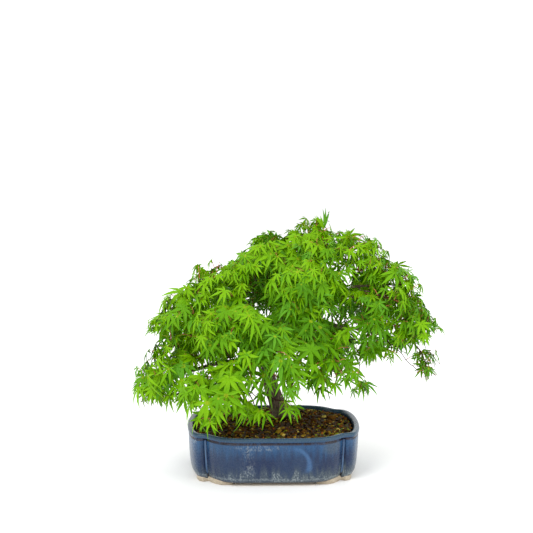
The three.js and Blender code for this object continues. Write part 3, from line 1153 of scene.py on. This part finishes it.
@dataclass
class Skeleton:
    """Centre lines of all the wood: joints a step apart, each with its parent."""

    step: float = 4.5 * MM
    reach: float = 0.2              # how far a point can pull a twig
    arrival: float = 8.5 * MM       # how near a twig comes before a point counts as reached
    rounds: int = 90
    onward: float = 0.55            # how strongly a twig keeps its direction
    lift: float = 0.10              # how strongly it turns up
    wander: float = 0.16            # how much chance there is in its direction
    crowded: float = 0.45           # share of a step that keeps a new joint off the others
    tip: float = 0.42 * MM          # radius of a twig's tip
    thicken: float = 0.43           # power by which wood thickens with the tips it carries
    room: int = 24000               # joints that there is room for
    joints: int = 0
    stem: int = 0                   # joints of the trunk, which come first
    place: np.ndarray = field(init=False)
    parent: np.ndarray = field(init=False)
    set_radius: np.ndarray = field(init=False)
    radius: np.ndarray = field(init=False)
    tips: np.ndarray = field(init=False)
    children: list[list[int]] = field(init=False)

    def __post_init__(self) -> None:
        """Make room for the joints."""
        self.place = np.zeros((self.room, 3))
        self.parent = np.full(self.room, -1)
        self.set_radius = np.zeros(self.room)

    def add(self, place: np.ndarray, parent: int, radius: float = 0.0) -> int:
        """A new joint; a radius above 0 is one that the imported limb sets.

        Args:
            place: Where it is.
            parent: The joint that it grows from.
            radius: Its set radius.

        Returns:
            Its number.
        """
        self.place[self.joints] = place
        self.parent[self.joints] = parent
        self.set_radius[self.joints] = radius
        self.joints += 1
        return self.joints - 1

    def start(self) -> None:
        """Lay the trunk's and the boughs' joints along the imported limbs."""
        line, radii = evenly(*centre_line("trunk", 40), self.step)
        if line[0, 2] > line[-1, 2]:
            line, radii = line[::-1], radii[::-1]
        last = -1
        for place, radius in zip(line, radii):
            last = self.add(place, last, radius)
        self.stem = stem = self.joints
        for node in sorted(n for n in frame["nodes"] if n.startswith("bough_")):
            line, radii = evenly(*centre_line(node, 12), self.step)
            nearest = [np.linalg.norm(self.place[:stem] - end, axis=1).min() for end in (line[0], line[-1])]
            if nearest[0] > nearest[1]:
                line, radii = line[::-1], radii[::-1]
            root = int(np.linalg.norm(self.place[:stem] - line[0], axis=1).argmin())
            last = root
            gap = line[0] - self.place[root]
            for share in np.arange(self.step, np.linalg.norm(gap), self.step) / np.linalg.norm(gap):
                last = self.add(self.place[root] + gap * share, last, radii[0] * 1.15)
            for place, radius in zip(line, radii):
                last = self.add(place, last, radius)

    def grow(self, targets: np.ndarray, rng: Rng) -> None:
        """Grow twigs until they have come near every point they can reach.

        Args:
            targets: Points in the masses of foliage.
            rng: The seeded source of chance.
        """
        known = self.place[:self.joints]
        distances = np.linalg.norm(targets[:, None] - known[None], axis=2)
        nearest = distances.argmin(1)
        distance = distances.min(1)
        waiting = distance > self.arrival
        heading = np.zeros((self.room, 3))
        heading[1:self.joints] = unit(self.place[1:self.joints] - self.place[self.parent[1:self.joints]])
        for _ in range(self.rounds):
            pulling = np.flatnonzero(waiting & (distance < self.reach))
            if not len(pulling) or self.joints + len(pulling) > self.room:
                break
            pull = unit(targets[pulling] - self.place[nearest[pulling]])
            growing, which = np.unique(nearest[pulling], return_inverse=True)
            direction = np.zeros((len(growing), 3))
            np.add.at(direction, which, pull)
            direction = unit(direction) + self.onward * heading[growing] + self.lift * UP
            direction = unit(direction + rng.normal(0, self.wander, direction.shape))
            fresh = self.place[growing] + direction * self.step
            crowd = np.linalg.norm(fresh[:, None] - self.place[None, :self.joints], axis=2).min(1)
            blocked = crowd < self.crowded * self.step
            waiting[pulling[blocked[which]]] = False
            first = self.joints
            for place, parent, way in zip(fresh[~blocked], growing[~blocked], direction[~blocked]):
                heading[self.add(place, int(parent))] = way
            if first == self.joints:
                continue
            apart = np.linalg.norm(targets[:, None] - self.place[None, first:self.joints], axis=2)
            closer = apart.min(1) < distance
            nearest = np.where(closer, first + apart.argmin(1), nearest)
            distance = np.minimum(distance, apart.min(1))
            waiting &= distance > self.arrival

    def finish(self) -> None:
        """Count the tips that each joint carries and set all the radii."""
        count = self.joints
        self.place, self.parent = self.place[:count], self.parent[:count]
        self.set_radius = self.set_radius[:count]
        children = np.bincount(self.parent[self.parent >= 0], minlength=count)
        self.tips = (children == 0).astype(float)
        for joint in range(count - 1, 0, -1):
            self.tips[self.parent[joint]] += self.tips[joint]
        self.radius = np.maximum(self.tip * self.tips ** self.thicken, self.set_radius)
        for joint in range(1, count):
            limit = self.radius[self.parent[joint]]
            self.radius[joint] = min(self.radius[joint], limit)
        self.children = [[] for _ in range(count)]
        for joint in range(1, count):
            self.children[self.parent[joint]].append(joint)
        for brood in self.children:
            brood.sort(key=lambda j: -self.tips[j])

    def runs(self) -> list[list[int]]:
        """Unbroken runs of joints: each starts at its fork and follows the stronger child."""
        forks = [[joint, child] for joint in range(self.joints) for child in self.children[joint][1:]]
        runs = []
        for run in [[0], *forks]:
            while self.children[run[-1]]:
                run.append(self.children[run[-1]][0])
            runs.append(run)
        return runs


def tube_mesh(lines: list[Line], sides: int, rough: float = 0.0) -> tuple[np.ndarray, list[list[int]]]:
    """Closed tapering tubes along many lines.

    Args:
        lines: For each tube its points and its radii.
        sides: Sides of a tube.
        rough: How far the bark stands out, as a share of the radius.

    Returns:
        All the corners and all the faces.
    """
    vertices, faces, base = [], [], 0
    turns = np.linspace(0, math.tau, sides, endpoint=False)
    for points, radii in lines:
        way = unit(np.gradient(points, axis=0))
        mean = way.mean(0)
        side = np.eye(3)[np.abs(mean).argmin()]
        first = unit(np.cross(way, side))
        second = np.cross(way, first)
        ring = first[:, None] * np.cos(turns)[None, :, None] + second[:, None] * np.sin(turns)[None, :, None]
        reach = np.repeat(radii[:, None], sides, axis=1)
        if rough:
            for i, j in np.ndindex(reach.shape):
                spot = Vector(points[i] + ring[i, j] * radii[i])
                reach[i, j] *= 1 + rough * noise.fractal(spot * 420, 0.8, 2.0, 3)
        vertices.append((points[:, None] + ring * reach[:, :, None]).reshape(-1, 3))
        count = len(points)
        for i in range(count - 1):
            for j in range(sides):
                a, b = base + i * sides + j, base + i * sides + (j + 1) % sides
                faces.append([a, b, b + sides, a + sides])
        faces.append([base + j for j in reversed(range(sides))])
        faces.append([base + (count - 1) * sides + j for j in range(sides)])
        base += count * sides
    return np.vstack(vertices), faces


@dataclass
class Wood:
    """The trunk, the boughs and the twigs."""

    skeleton: Skeleton
    bough_from: float = 1.05 * MM   # wood at least this thick is a bough
    bark_relief: float = 0.16       # relief of a bough's bark, as a share of its radius
    ridge: float = 0.55             # height of the trunk's ridges, in millimetres
    lump: float = 1.5               # and of its knobs

    def trunk(self) -> Piece:
        """The trunk with the relief of its bark: long ridges, cracks and old pruning knobs.

        Returns:
            The trunk.
        """
        trunk = copy_of("trunk", "trunk_bark")
        edit_all()
        bpy.ops.mesh.tris_convert_to_quads()
        stop_editing()
        apply_modifier(trunk, "SUBSURF", levels=3, render_levels=3)
        places = corners_of(trunk.data)
        normals = normals_of(trunk.data)
        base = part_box("trunk")[0].z
        for i, place in enumerate(places):
            if place[2] < base + 0.4 * MM:
                continue
            spot = Vector(place)
            along = Vector((spot.x * 210, spot.y * 210, spot.z * 55))
            ridges = noise.ridged_multi_fractal(along, 0.8, 2.1, 4, 0.9, 2.0)
            lumps = noise.fractal(spot * 62, 0.9, 2.0, 3)
            places[i] += normals[i] * MM * (self.ridge * (ridges - 1.0) + self.lump * lumps)
        place_corners(trunk.data, places)
        return trunk

    def lines(self, thick: bool) -> list[Line]:
        """The runs of wood that are boughs, or those that are twigs.

        Args:
            thick: True for the boughs.

        Returns:
            For each run its points and its radii.
        """
        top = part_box("trunk")[1].z - 6 * MM
        trunk_tip = int((self.skeleton.place[:, 2] >= top).argmax())
        lines = []
        for run in self.skeleton.runs():
            if run[0] == 0:
                run = run[trunk_tip:]
            radii = self.skeleton.radius[run].copy()
            if len(run) > 1:
                radii[0] = radii[1]
            split = int((radii >= self.bough_from).sum())
            part = run[:split + 1] if thick else run[max(split - 1, 0):]
            if len(part) < 2 or (thick and split < 2):
                continue
            kept = radii[:split + 1] if thick else radii[max(split - 1, 0):]
            lines.append((self.skeleton.place[part], kept))
        return lines

    def build(self) -> None:
        """Make and dress the trunk, the boughs and the twigs."""
        bark = Bark().build()
        trunk = self.trunk()
        smooth(trunk, 60)
        trunk.data.materials.append(bark)
        stand_for(trunk, ["trunk"])
        vertices, faces = tube_mesh(self.lines(thick=True), 10, self.bark_relief)
        boughs = mesh_piece("boughs", vertices, faces)
        smooth(boughs, 60)
        boughs.data.materials.append(bark)
        stand_for(boughs, [n for n in frame["nodes"] if n.startswith("bough_")])
        vertices, faces = tube_mesh(self.lines(thick=False), 5)
        rng = np.random.default_rng(SEED + 5)
        twigs = mesh_piece("twigs", vertices, faces, rng.choice(2, len(faces), p=(0.7, 0.3)))
        twigs.data.materials.append(LeafTint("twig_dark", srgb(60, 28, 22), 0.6).build())
        twigs.data.materials.append(LeafTint("twig_dark_again", srgb(74, 42, 28), 0.6).build())
        smooth(twigs, 80)
        stand_for(twigs, [])


# ------------------------------------------------------------------ the leaves


class Tint(Enum):
    """Colours of leaf blades, their hearts and their dry tips, and of leaf stalks."""

    # BRIGHT to DEEP: one leaf green in steps from lit to shaded, dealt out as painted light
    BRIGHT = srgb(112, 164, 0)
    FRESH = srgb(100, 155, 0)
    MID = srgb(87, 142, 0)
    DEEP = srgb(71, 125, 0)
    COOL = srgb(84, 143, 24)
    HEART = srgb(134, 160, 18)
    DRY = srgb(104, 58, 36)
    STALK = srgb(184, 104, 74)
    GREEN_STALK = srgb(142, 150, 44)


BLADES = [Tint.BRIGHT, Tint.FRESH, Tint.MID, Tint.DEEP, Tint.COOL, Tint.HEART, Tint.DRY]


@dataclass
class LeafShape:
    """One palmate leaf of seven long pointed lobes, flat, of unit size.

    A lobe has a spine of five points and three points on each side of it.
    """

    angles: tuple[float, ...] = (-124, -80, -39, 0, 39, 80, 124)
    lengths: tuple[float, ...] = (0.36, 0.68, 0.92, 1.0, 0.92, 0.68, 0.36)
    stations: tuple[float, ...] = (0.0, 0.12, 0.42, 0.7, 1.0)
    widths: tuple[float, ...] = (0.052, 0.112, 0.066)
    heart_faces: tuple[int, ...] = (0, 4)   # faces of a lobe next to the leaf's heart
    tip_faces: tuple[int, ...] = (3, 7)     # and those at its tip
    skew: float = 0.06              # how uneven the lobes' angles are, in radians
    vary: float = 0.07              # and their lengths, as a share
    bend: float = 0.1               # and how they curve to the side and down
    cup: float = 0.32               # how far a lobe's sides turn up from its spine
    curl_from: float = 0.6          # share of a dry lobe from which its tip curls up
    curl: float = 0.35

    def lobe(self) -> tuple[np.ndarray, np.ndarray]:
        """Distance out and distance to the side of each corner of a lobe."""
        out = np.array([*self.stations, *self.stations[1:4], *self.stations[1:4]])
        side = np.array([0.0] * 5 + list(self.widths) + [-w for w in self.widths])
        return out, side

    def faces(self) -> list[list[int]]:
        """Faces of a lobe, from its heart to its tip, left side first."""
        left = [[0, 1, 5], [1, 2, 6, 5], [2, 3, 7, 6], [3, 4, 7]]
        right = [[0, 8, 1], [1, 8, 9, 2], [2, 9, 10, 3], [3, 10, 4]]
        return left + right


@dataclass(frozen=True)
class Dealing:
    """How leaf colours are dealt out: brighter high up, at the rim and on the left, as painted light where
    the light falls on the crown.
    """

    # painted light: how much lighter the tints are dealt high up, at the crown's rim and on the left
    high: float = 0.28
    rim: float = 0.3
    left: float = 0.25
    mood: float = 0.14              # chance that all leaves of a spray share
    chance: float = 0.06            # chance of each leaf alone
    steps: tuple[float, ...] = (-0.5, -0.37, -0.2)      # where one tint gives way to the next
    cool: float = 0.14              # share of cool leaves
    hearts: float = 0.5             # share of leaves with a yellow heart
    dry_tip: float = 0.5            # share of dry lobes where the crown's right tip hangs
    dry_low: float = 0.08           # and low on the right


@dataclass
class Foliage:
    """Leaves in pairs along the young wood."""

    skeleton: Skeleton
    canopy: Canopy
    shape: LeafShape = field(default_factory=LeafShape)
    pair_every: int = 3             # joints between two pairs of leaves
    young: float = 3.0              # wood that carries at most this many tips bears leaves
    blade: float = 31.0 * MM        # usual length of the middle lobe
    stalk: float = 15.0 * MM        # usual length of a leaf stalk
    stand_out: float = 5.5 * MM     # how far a lobe's tip may pass the edge of the crown
    straying: float = 0.13          # share of leaves that may pass it much further
    stray_by: float = 2.4           # how many times further
    trims: int = 2                  # times that a leaf is made smaller before it is left out
    trim: float = 0.86              # how much smaller each time
    fall: tuple[float, float] = (43.0, 19.0)        # how far leaves hang, in degrees: usual and spread
    fall_low: float = 14.0          # how much further they hang at the foot of the crown
    fall_least: float = 16.0
    roll: float = 0.38              # how far leaves roll about their length, in radians
    droop: tuple[float, float] = (0.34, 0.16)       # how far lobes bend down: usual and spread
    fan: tuple[float, float] = (0.97, 0.11)         # how far apart lobes stand
    breadth: tuple[float, float] = (0.87, 0.12)     # how broad lobes are
    over_pot: float = 1.5 * MM      # how far leaves keep above the pot's lip
    past_pot: float = 20.0 * MM     # how far below it they may hang beside the pot
    beside: float = 4.0 * MM        # how far past the pot's ends that begins
    large: tuple[str, ...] = ("foliage_low_front", "foliage_front", "foliage_low_front_left",
                              "foliage_right_drop")
    larger_by: float = 1.16         # how much larger leaves are in those masses
    larger_out: float = 1.7         # how many times further they may pass the crown's edge
    sight: float = 9.0 * MM         # half the width kept open in front of the trunk
    clear_height: float = 95.0 * MM     # height above the soil up to which it is kept most open
    cleared: tuple[float, float] = (0.85, 0.3)      # share of leaves gone there, and above it
    dealing: Dealing = field(default_factory=Dealing)

    def joints_with_leaves(self) -> list[tuple[int, int, int]]:
        """Joints that bear a pair of leaves, each with its place along the twig and its spray."""
        found = []
        for spray, run in enumerate(self.skeleton.runs()):
            young = [j for j in run[1:]
                     if self.skeleton.tips[j] <= self.young and self.skeleton.set_radius[j] == 0]
            for order, joint in enumerate(reversed(young)):
                if order % self.pair_every == 0:
                    found.append((joint, order // self.pair_every, spray))
        return found

    def owner(self, places: np.ndarray) -> np.ndarray:
        """The mass that each place belongs to."""
        owners = []
        for place in places:
            depths = [self.canopy.depth(m, place) for m in range(len(self.canopy.names))]
            owners.append(int(np.argmax(depths)))
        return np.array(owners)

    def leaves(self, rng: Rng) -> Rows:
        """Place, attitude, size and colour of every leaf.

        Args:
            rng: The seeded source of chance.

        Returns:
            Named rows, one entry a leaf.
        """
        bearing = self.joints_with_leaves()
        joints, order, spray = np.array(bearing).T
        place = self.skeleton.place[joints]
        way = unit(place - self.skeleton.place[self.skeleton.parent[joints]])
        side = unit(np.cross(way, UP + rng.normal(0, 0.15, way.shape)))
        spin = np.where(order % 2 == 0, 0.0, math.pi / 2) + rng.normal(0, 0.4, len(joints))
        across = side * np.cos(spin)[:, None] + np.cross(way, side) * np.sin(spin)[:, None]
        mass = self.owner(place)
        parts = []
        for sign in (1, -1):
            parts.append({"root": place, "way": way, "across": across * sign, "mass": mass,
                          "order": order, "spray": spray})
        tip = np.flatnonzero(order == 0)
        onward = way[tip] + rng.normal(0, 0.3, (len(tip), 3))
        parts.append({"root": place[tip], "way": way[tip], "across": onward, "mass": mass[tip],
                      "order": order[tip], "spray": spray[tip]})
        rows = {key: np.concatenate([p[key] for p in parts]) for key in parts[0]}
        count = len(rows["root"])
        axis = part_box("trunk")
        middle = np.array([(axis[0].x + axis[1].x) / 2, (axis[0].y + axis[1].y) / 2, 0])
        outward = unit((rows["root"] - middle) * (1, 1, 0))
        reach = unit(rows["across"] + 0.55 * rows["way"] + 0.30 * outward + 0.35 * UP)
        low = np.clip(self.height(rows["root"]), 0, 1)
        grade = 1.14 - 0.42 * low
        length = self.stalk * grade * rng.lognormal(0, 0.35, count)
        rows["base"] = rows["root"] + reach * length[:, None]
        chance = rng.normal(0, 0.35, (count, 3)) * (1, 1, 0)
        level = unit(unit(reach * (1, 1, 0.001)) * 0.8 + outward * 0.9 + chance)
        fall = rng.normal(*self.fall, count) + self.fall_low * (1 - low)
        fall = np.radians(np.maximum(fall, self.fall_least))
        rows["forward"] = level * np.cos(fall)[:, None] - UP * np.sin(fall)[:, None]
        rows["normal"] = UP * np.cos(fall)[:, None] + level * np.sin(fall)[:, None]
        roll = rng.normal(0, self.roll, count)[:, None]
        right = np.cross(rows["forward"], rows["normal"])
        rows["normal"] = rows["normal"] * np.cos(roll) + right * np.sin(roll)
        youth = np.where(rows["order"] == 0, 0.86, 1.0)
        rows["size"] = self.blade * grade * rng.lognormal(-0.04, 0.2, count) * youth
        names = np.array(self.canopy.names)[rows["mass"]]
        rows["size"] *= np.where(np.isin(names, self.large), self.larger_by, 1.0)
        rows["droop"] = np.abs(rng.normal(*self.droop, count))
        rows["spread"] = rng.normal(*self.fan, count)
        rows["slender"] = np.where(names == "foliage_right_tip", 0.75, rng.normal(*self.breadth, count))
        for key, value in self.shoot(rows).items():
            kept = rows[key][names != "foliage_apex_shoot"]
            rows[key] = np.concatenate([kept, value])
        return rows

    def shoot(self, rows: Rows) -> Rows:
        """The upright young leaves at the very top, in the same rows as all the others.

        Args:
            rows: The other leaves, for the kinds of row.

        Returns:
            Rows of the shoot's leaves.
        """
        mass = self.canopy.names.index("foliage_apex_shoot")
        low, high = self.canopy.boxes[mass]
        foot = np.array([(low.x + high.x) / 2, (low.y + high.y) / 2, low.z])
        top = self.skeleton.place[np.linalg.norm(self.skeleton.place - foot, axis=1).argmin()]
        leans = np.array([[-0.62, 0.1, 1.0], [-0.36, 0.0, 1.0], [0.14, -0.12, 1.0]])
        count = len(leans)
        forward = unit(leans)
        side = unit(np.cross(forward, np.array([0.1, 1.0, 0.0])))
        made = {key: np.zeros((count,) + value.shape[1:], value.dtype) for key, value in rows.items()}
        made["root"] = made["root"] + top
        made["base"] = made["root"] * 0.4 + (foot + UP * 7 * MM) * 0.6
        made["forward"] = forward
        made["normal"] = unit(np.cross(side, forward))
        made["size"] = (high.z - low.z) * np.array([0.84, 0.6, 0.92])
        made["droop"] = np.full(count, 0.05)
        made["spread"] = np.full(count, 0.05)
        made["slender"] = np.full(count, 0.46)
        made["mass"] = np.full(count, mass)
        return made

    def opened(self, rows: Rows, rng: Rng) -> Rows:
        """Leaves left once most of those that hang in front of the trunk are gone.

        Args:
            rows: The leaves.
            rng: The seeded source of chance.

        Returns:
            The leaves that stay.
        """
        stem = self.skeleton.place[:self.skeleton.stem]
        tips = self.lobe_tips(rows)
        spots = np.concatenate([tips, (tips + rows["base"][:, None]) / 2], axis=1)
        off = np.abs(spots[:, :, 0] - np.interp(spots[:, :, 2], stem[:, 2], stem[:, 0]))
        ahead = spots[:, :, 1] < np.interp(spots[:, :, 2], stem[:, 2], stem[:, 1])
        below = spots[:, :, 2] < stem[-1, 2]
        hiding = ((off < self.sight) & ahead & below).any(axis=1)
        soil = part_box("soil")[1].z
        low = rows["base"][:, 2] < soil + self.clear_height
        gone = hiding & (rng.random(len(low)) < np.where(low, *self.cleared))
        return {key: value[~gone] for key, value in rows.items()}

    def height(self, places: np.ndarray) -> np.ndarray:
        """Height of each place, as a share of the crown's."""
        low = min(b[0].z for b in self.canopy.boxes)
        high = max(b[1].z for b in self.canopy.boxes)
        return (places[:, 2] - low) / (high - low)

    def keep_inside(self, rows: Rows, rng: Rng) -> Rows:
        """Shrink or drop leaves that would spoil the crown's outline or touch the pot.

        Args:
            rows: The leaves.
            rng: The seeded source of chance.

        Returns:
            The leaves that stay.
        """
        pot_low, pot_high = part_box("pot")
        keep = np.ones(len(rows["root"]), bool)
        allowed = np.where(rng.random(len(keep)) < self.straying, self.stray_by, 1.0) * self.stand_out
        grown = np.isin(np.array(self.canopy.names)[rows["mass"]], self.large)
        allowed = np.where(grown, np.maximum(allowed, self.larger_out * self.stand_out), allowed)
        for attempt in range(self.trims + 1):
            tips = self.lobe_tips(rows)
            for i in np.flatnonzero(keep):
                out = max(self.canopy.outside(tip) for tip in tips[i])
                over = (tips[i, :, 0] > pot_low.x - self.beside) & (tips[i, :, 0] < pot_high.x + self.beside)
                over &= (tips[i, :, 1] > pot_low.y) & (tips[i, :, 1] < pot_high.y)
                floor = pot_high.z + np.where(over, self.over_pot, -self.past_pot)
                low = bool((tips[i, :, 2] < floor).any())
                if attempt == self.trims:
                    keep[i] = out < 1.5 * allowed[i] and not low
                elif out > allowed[i] or low:
                    rows["size"][i] *= self.trim
                    rows["base"][i] = rows["root"][i] * 0.3 + rows["base"][i] * 0.7
        return {key: value[keep] for key, value in rows.items()}

    def lobe_tips(self, rows: Rows) -> np.ndarray:
        """Places of the tips of each leaf's five longest lobes, and of its stalk's end.

        Args:
            rows: The leaves.

        Returns:
            Six places a leaf.
        """
        right = np.cross(rows["forward"], rows["normal"])
        places = [rows["base"]]
        for angle, length in list(zip(self.shape.angles, self.shape.lengths))[1:-1]:
            turned = np.radians(angle) * rows["spread"]
            way = right * np.sin(turned)[:, None] + rows["forward"] * np.cos(turned)[:, None]
            way = way * length - rows["normal"] * (rows["droop"] * length ** 2)[:, None]
            places.append(rows["base"] + way * rows["size"][:, None])
        return np.stack(places, axis=1)

    def colours(self, rows: Rows, rng: Rng) -> tuple[np.ndarray, np.ndarray]:
        """Colour of each leaf, dealt out by spray with painted light, and which leaves have dry tips.

        Args:
            rows: The leaves.
            rng: The seeded source of chance.

        Returns:
            The blade colour of each leaf, and its share of dry lobes.
        """
        high = np.clip(self.height(rows["root"]), 0, 1)
        lows = np.array([b[0].x for b in self.canopy.boxes])
        highs = np.array([b[1].x for b in self.canopy.boxes])
        left = (highs.max() - rows["root"][:, 0]) / (highs.max() - lows.min())
        deal = self.dealing
        mood = rng.normal(0, deal.mood, int(rows["spray"].max()) + 1)[rows["spray"]]
        rim = np.clip(2 * np.hypot(left - 0.45, high - 0.5), 0, 1)
        # painted light: lighter tints high up, at the crown's rim and on the left where the light falls,
        # darker inside
        light = deal.high * high + deal.rim * rim + deal.left * left + mood
        light = light + rng.normal(0, deal.chance, len(high))
        tint = np.digitize(-light, deal.steps)
        tint = np.where(rng.random(len(tint)) < deal.cool, BLADES.index(Tint.COOL), tint)
        names = np.array(self.canopy.names)[rows["mass"]]
        dry = np.where((high < 0.4) & (left < 0.5), deal.dry_low, 0.0)
        dry = np.where(names == "foliage_right_tip", deal.dry_tip, dry)
        return tint, dry

    def blades(self, name: str, rows: Rows, rng: Rng) -> Piece:
        """The blades of many leaves as one mesh.

        Args:
            name: Name of the piece.
            rows: The leaves.
            rng: The seeded source of chance.

        Returns:
            The piece.
        """
        out, side = self.shape.lobe()
        count, lobes = len(rows["base"]), len(self.shape.angles)
        angle = np.radians(np.array(self.shape.angles))[None] * rows["spread"][:, None]
        angle = angle + rng.normal(0, self.shape.skew, (count, lobes))
        length = np.array(self.shape.lengths)[None] * rng.normal(1, self.shape.vary, (count, lobes))
        bend = rng.normal(0, self.shape.bend, (count, lobes))
        far = out[None, None] * length[:, :, None]
        turned = angle[:, :, None] + bend[:, :, None] * out[None, None]
        wide = side[None, None] * (0.55 + 0.45 * length[:, :, None]) * rows["slender"][:, None, None]
        x = far * np.sin(turned) + wide * np.cos(turned)
        y = far * np.cos(turned) - wide * np.sin(turned)
        lobe_droop = rows["droop"][:, None, None] + rng.normal(0, self.shape.bend, (count, lobes, 1))
        dry = rng.random((count, lobes)) < rows["dry"][:, None]
        curling = np.maximum(out - self.shape.curl_from, 0)[None, None] * dry[:, :, None]
        z = self.shape.cup * np.abs(wide) - lobe_droop * far ** 2 + self.shape.curl * curling
        local = np.stack([x, y, z], axis=-1) * rows["size"][:, None, None, None]
        right = np.cross(rows["forward"], rows["normal"])
        basis = np.stack([right, rows["forward"], rows["normal"]], axis=1)
        world = np.einsum("nlvk,nkj->nlvj", local, basis) + rows["base"][:, None, None]
        pattern = self.shape.faces()
        corners = len(out)
        starts = np.arange(count * lobes) * corners
        faces = [[s + c for c in face] for s in starts.tolist() for face in pattern]
        slots = np.repeat(rows["tint"], lobes * len(pattern)).reshape(count, lobes, len(pattern))
        hearts = rng.random(count) < self.dealing.hearts
        changes = ((self.shape.heart_faces, hearts[:, None, None], Tint.HEART),
                   (self.shape.tip_faces, dry[:, :, None], Tint.DRY))
        for sides, where, tint in changes:
            slots[:, :, sides] = np.where(where, BLADES.index(tint), slots[:, :, sides])
        return mesh_piece(name, world.reshape(-1, 3), faces, slots.ravel())

    def stalks(self, rows: Rows, rng: Rng) -> Piece:
        """The leaf stalks as one mesh of thin three-sided tubes.

        Args:
            rows: The leaves.
            rng: The seeded source of chance.

        Returns:
            The piece.
        """
        lines = []
        for root, base, forward, size in zip(rows["root"], rows["base"], rows["forward"], rows["size"]):
            bow = (root + base) / 2 + UP * 0.12 * np.linalg.norm(base - root)
            end = base + forward * 0.03 * size
            lines.append((np.array([root, bow, end]), np.array([0.56, 0.44, 0.36]) * MM))
        vertices, faces = tube_mesh(lines, 3)
        per_stalk = len(faces) // len(lines)
        slots = np.repeat(rng.choice(2, len(lines), p=(0.65, 0.35)), per_stalk)
        piece = mesh_piece("leaf_stalks", vertices, faces, slots)
        for tint in (Tint.STALK, Tint.GREEN_STALK):
            piece.data.materials.append(LeafTint(f"leaf_{tint.name.lower()}", tint.value, 0.5).build())
        smooth(piece, 80)
        return piece

    def build(self, rng: Rng) -> None:
        """Make and dress the leaves of each part of the crown, and the stalks."""
        rows = self.opened(self.keep_inside(self.leaves(rng), rng), rng)
        rows["tint"], rows["dry"] = self.colours(rows, rng)
        LOG.info("leaves: %d", len(rows["root"]))
        # every blade tint gets a painted glow of 0.06, lifting the shade inside the crown
        finishes = [LeafTint(f"leaf_{tint.name.lower()}", tint.value, shine=0.14, painted_glow=0.06).build()
                    for tint in BLADES]
        names = np.array([n.removeprefix("foliage_") for n in self.canopy.names])[rows["mass"]]
        for part in Part:
            mine = np.isin(names, part.value)
            own = {key: value[mine] for key, value in rows.items()}
            piece = self.blades(f"leaves_{part.name.lower()}", own, rng)
            for finish in finishes:
                piece.data.materials.append(finish)
            stand_for(piece, [f"foliage_{n}" for n in part.value])
        stand_for(self.stalks(rows, rng), [])


# ------------------------------------------------------------------ the studio


@dataclass
class Studio:
    """A pale floor, soft light and the camera."""

    lens: float = 90.0
    camera_place: tuple[float, float, float] = (-0.0558, -1.8813, 0.5397)   # from the pot's middle
    aim: tuple[float, float, float] = (-0.0096, 0.0, 0.2947)
    floor_radius: float = 40.0
    sky: float = 1.08               # strength of the even light from all round

    def camera(self) -> None:
        """A level camera that looks slightly down on the pot."""
        low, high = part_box("pot")
        middle = Vector(((low.x + high.x) / 2, (low.y + high.y) / 2, 0))
        data = bpy.data.cameras.new("camera")
        data.lens = self.lens
        data.sensor_width = 36
        camera = bpy.data.objects.new("camera", data)
        camera.location = middle + Vector(self.camera_place)
        look = Vector(self.aim) - Vector(self.camera_place)
        camera.rotation_euler = look.to_track_quat("-Z", "Y").to_euler()
        bpy.context.scene.collection.objects.link(camera)
        bpy.context.scene.camera = camera

    def floor(self) -> None:
        """The floor that the pot stands on."""
        deselect_all()
        bpy.ops.mesh.primitive_circle_add(vertices=96, radius=self.floor_radius, fill_type="NGON")
        floor = bpy.context.object
        floor.name = "floor"
        material, _, shader = new_material("floor")
        shader.inputs["Base Color"].default_value = (0.95, 0.95, 0.95, 1)
        shader.inputs["Roughness"].default_value = 0.9
        shader.inputs["Specular IOR Level"].default_value = 0.0
        floor.data.materials.append(material)

    def light(self, name: str, place: tuple[float, float, float], size: float, power: float) -> None:
        """A square soft light that faces the tree.

        Args:
            name: Its name.
            place: Where it hangs.
            size: Its side.
            power: Its power in watts.
        """
        data = bpy.data.lights.new(name, "AREA")
        data.size = size
        data.energy = power
        lamp = bpy.data.objects.new(name, data)
        lamp.location = place
        lamp.rotation_euler = (Vector((0, 0, 0.2)) - Vector(place)).to_track_quat("-Z", "Y").to_euler()
        bpy.context.scene.collection.objects.link(lamp)

    def build(self) -> None:
        """Set the stage."""
        self.camera()
        self.floor()
        self.light("key", (-1.3, -1.8, 2.2), 1.4, 38)
        self.light("fill", (1.8, -1.4, 1.3), 1.6, 12)
        self.light("back", (0.4, 2.0, 1.8), 1.6, 16)
        world = bpy.data.worlds.new("studio")
        world.use_nodes = True
        sky = world.node_tree.nodes["Background"]
        sky.inputs["Color"].default_value = (1, 1, 1, 1)
        sky.inputs["Strength"].default_value = self.sky
        bpy.context.scene.world = world
        bpy.context.scene.view_settings.view_transform = "Standard"


# ------------------------------------------------------------------ putting it together


def main() -> None:
    """Build the studio, the pot, the soil, the wood and the leaves, in that order."""
    logging.basicConfig(level=logging.INFO, format="%(message)s")
    rng = np.random.default_rng(SEED)
    Studio().build()
    LobedPot().build()
    Soil().build(np.random.default_rng(SEED + 1))
    canopy = Canopy()
    skeleton = Skeleton()
    skeleton.start()
    targets = canopy.scatter(12.0 * MM, 20 * MM, rng)
    LOG.info("targets: %d", len(targets))
    skeleton.grow(targets, rng)
    skeleton.finish()
    LOG.info("joints: %d, tips: %d", skeleton.joints, int(skeleton.tips[0]))
    Wood(skeleton).build()
    Foliage(skeleton, canopy).build(rng)


if __name__ == "__main__":
    main()
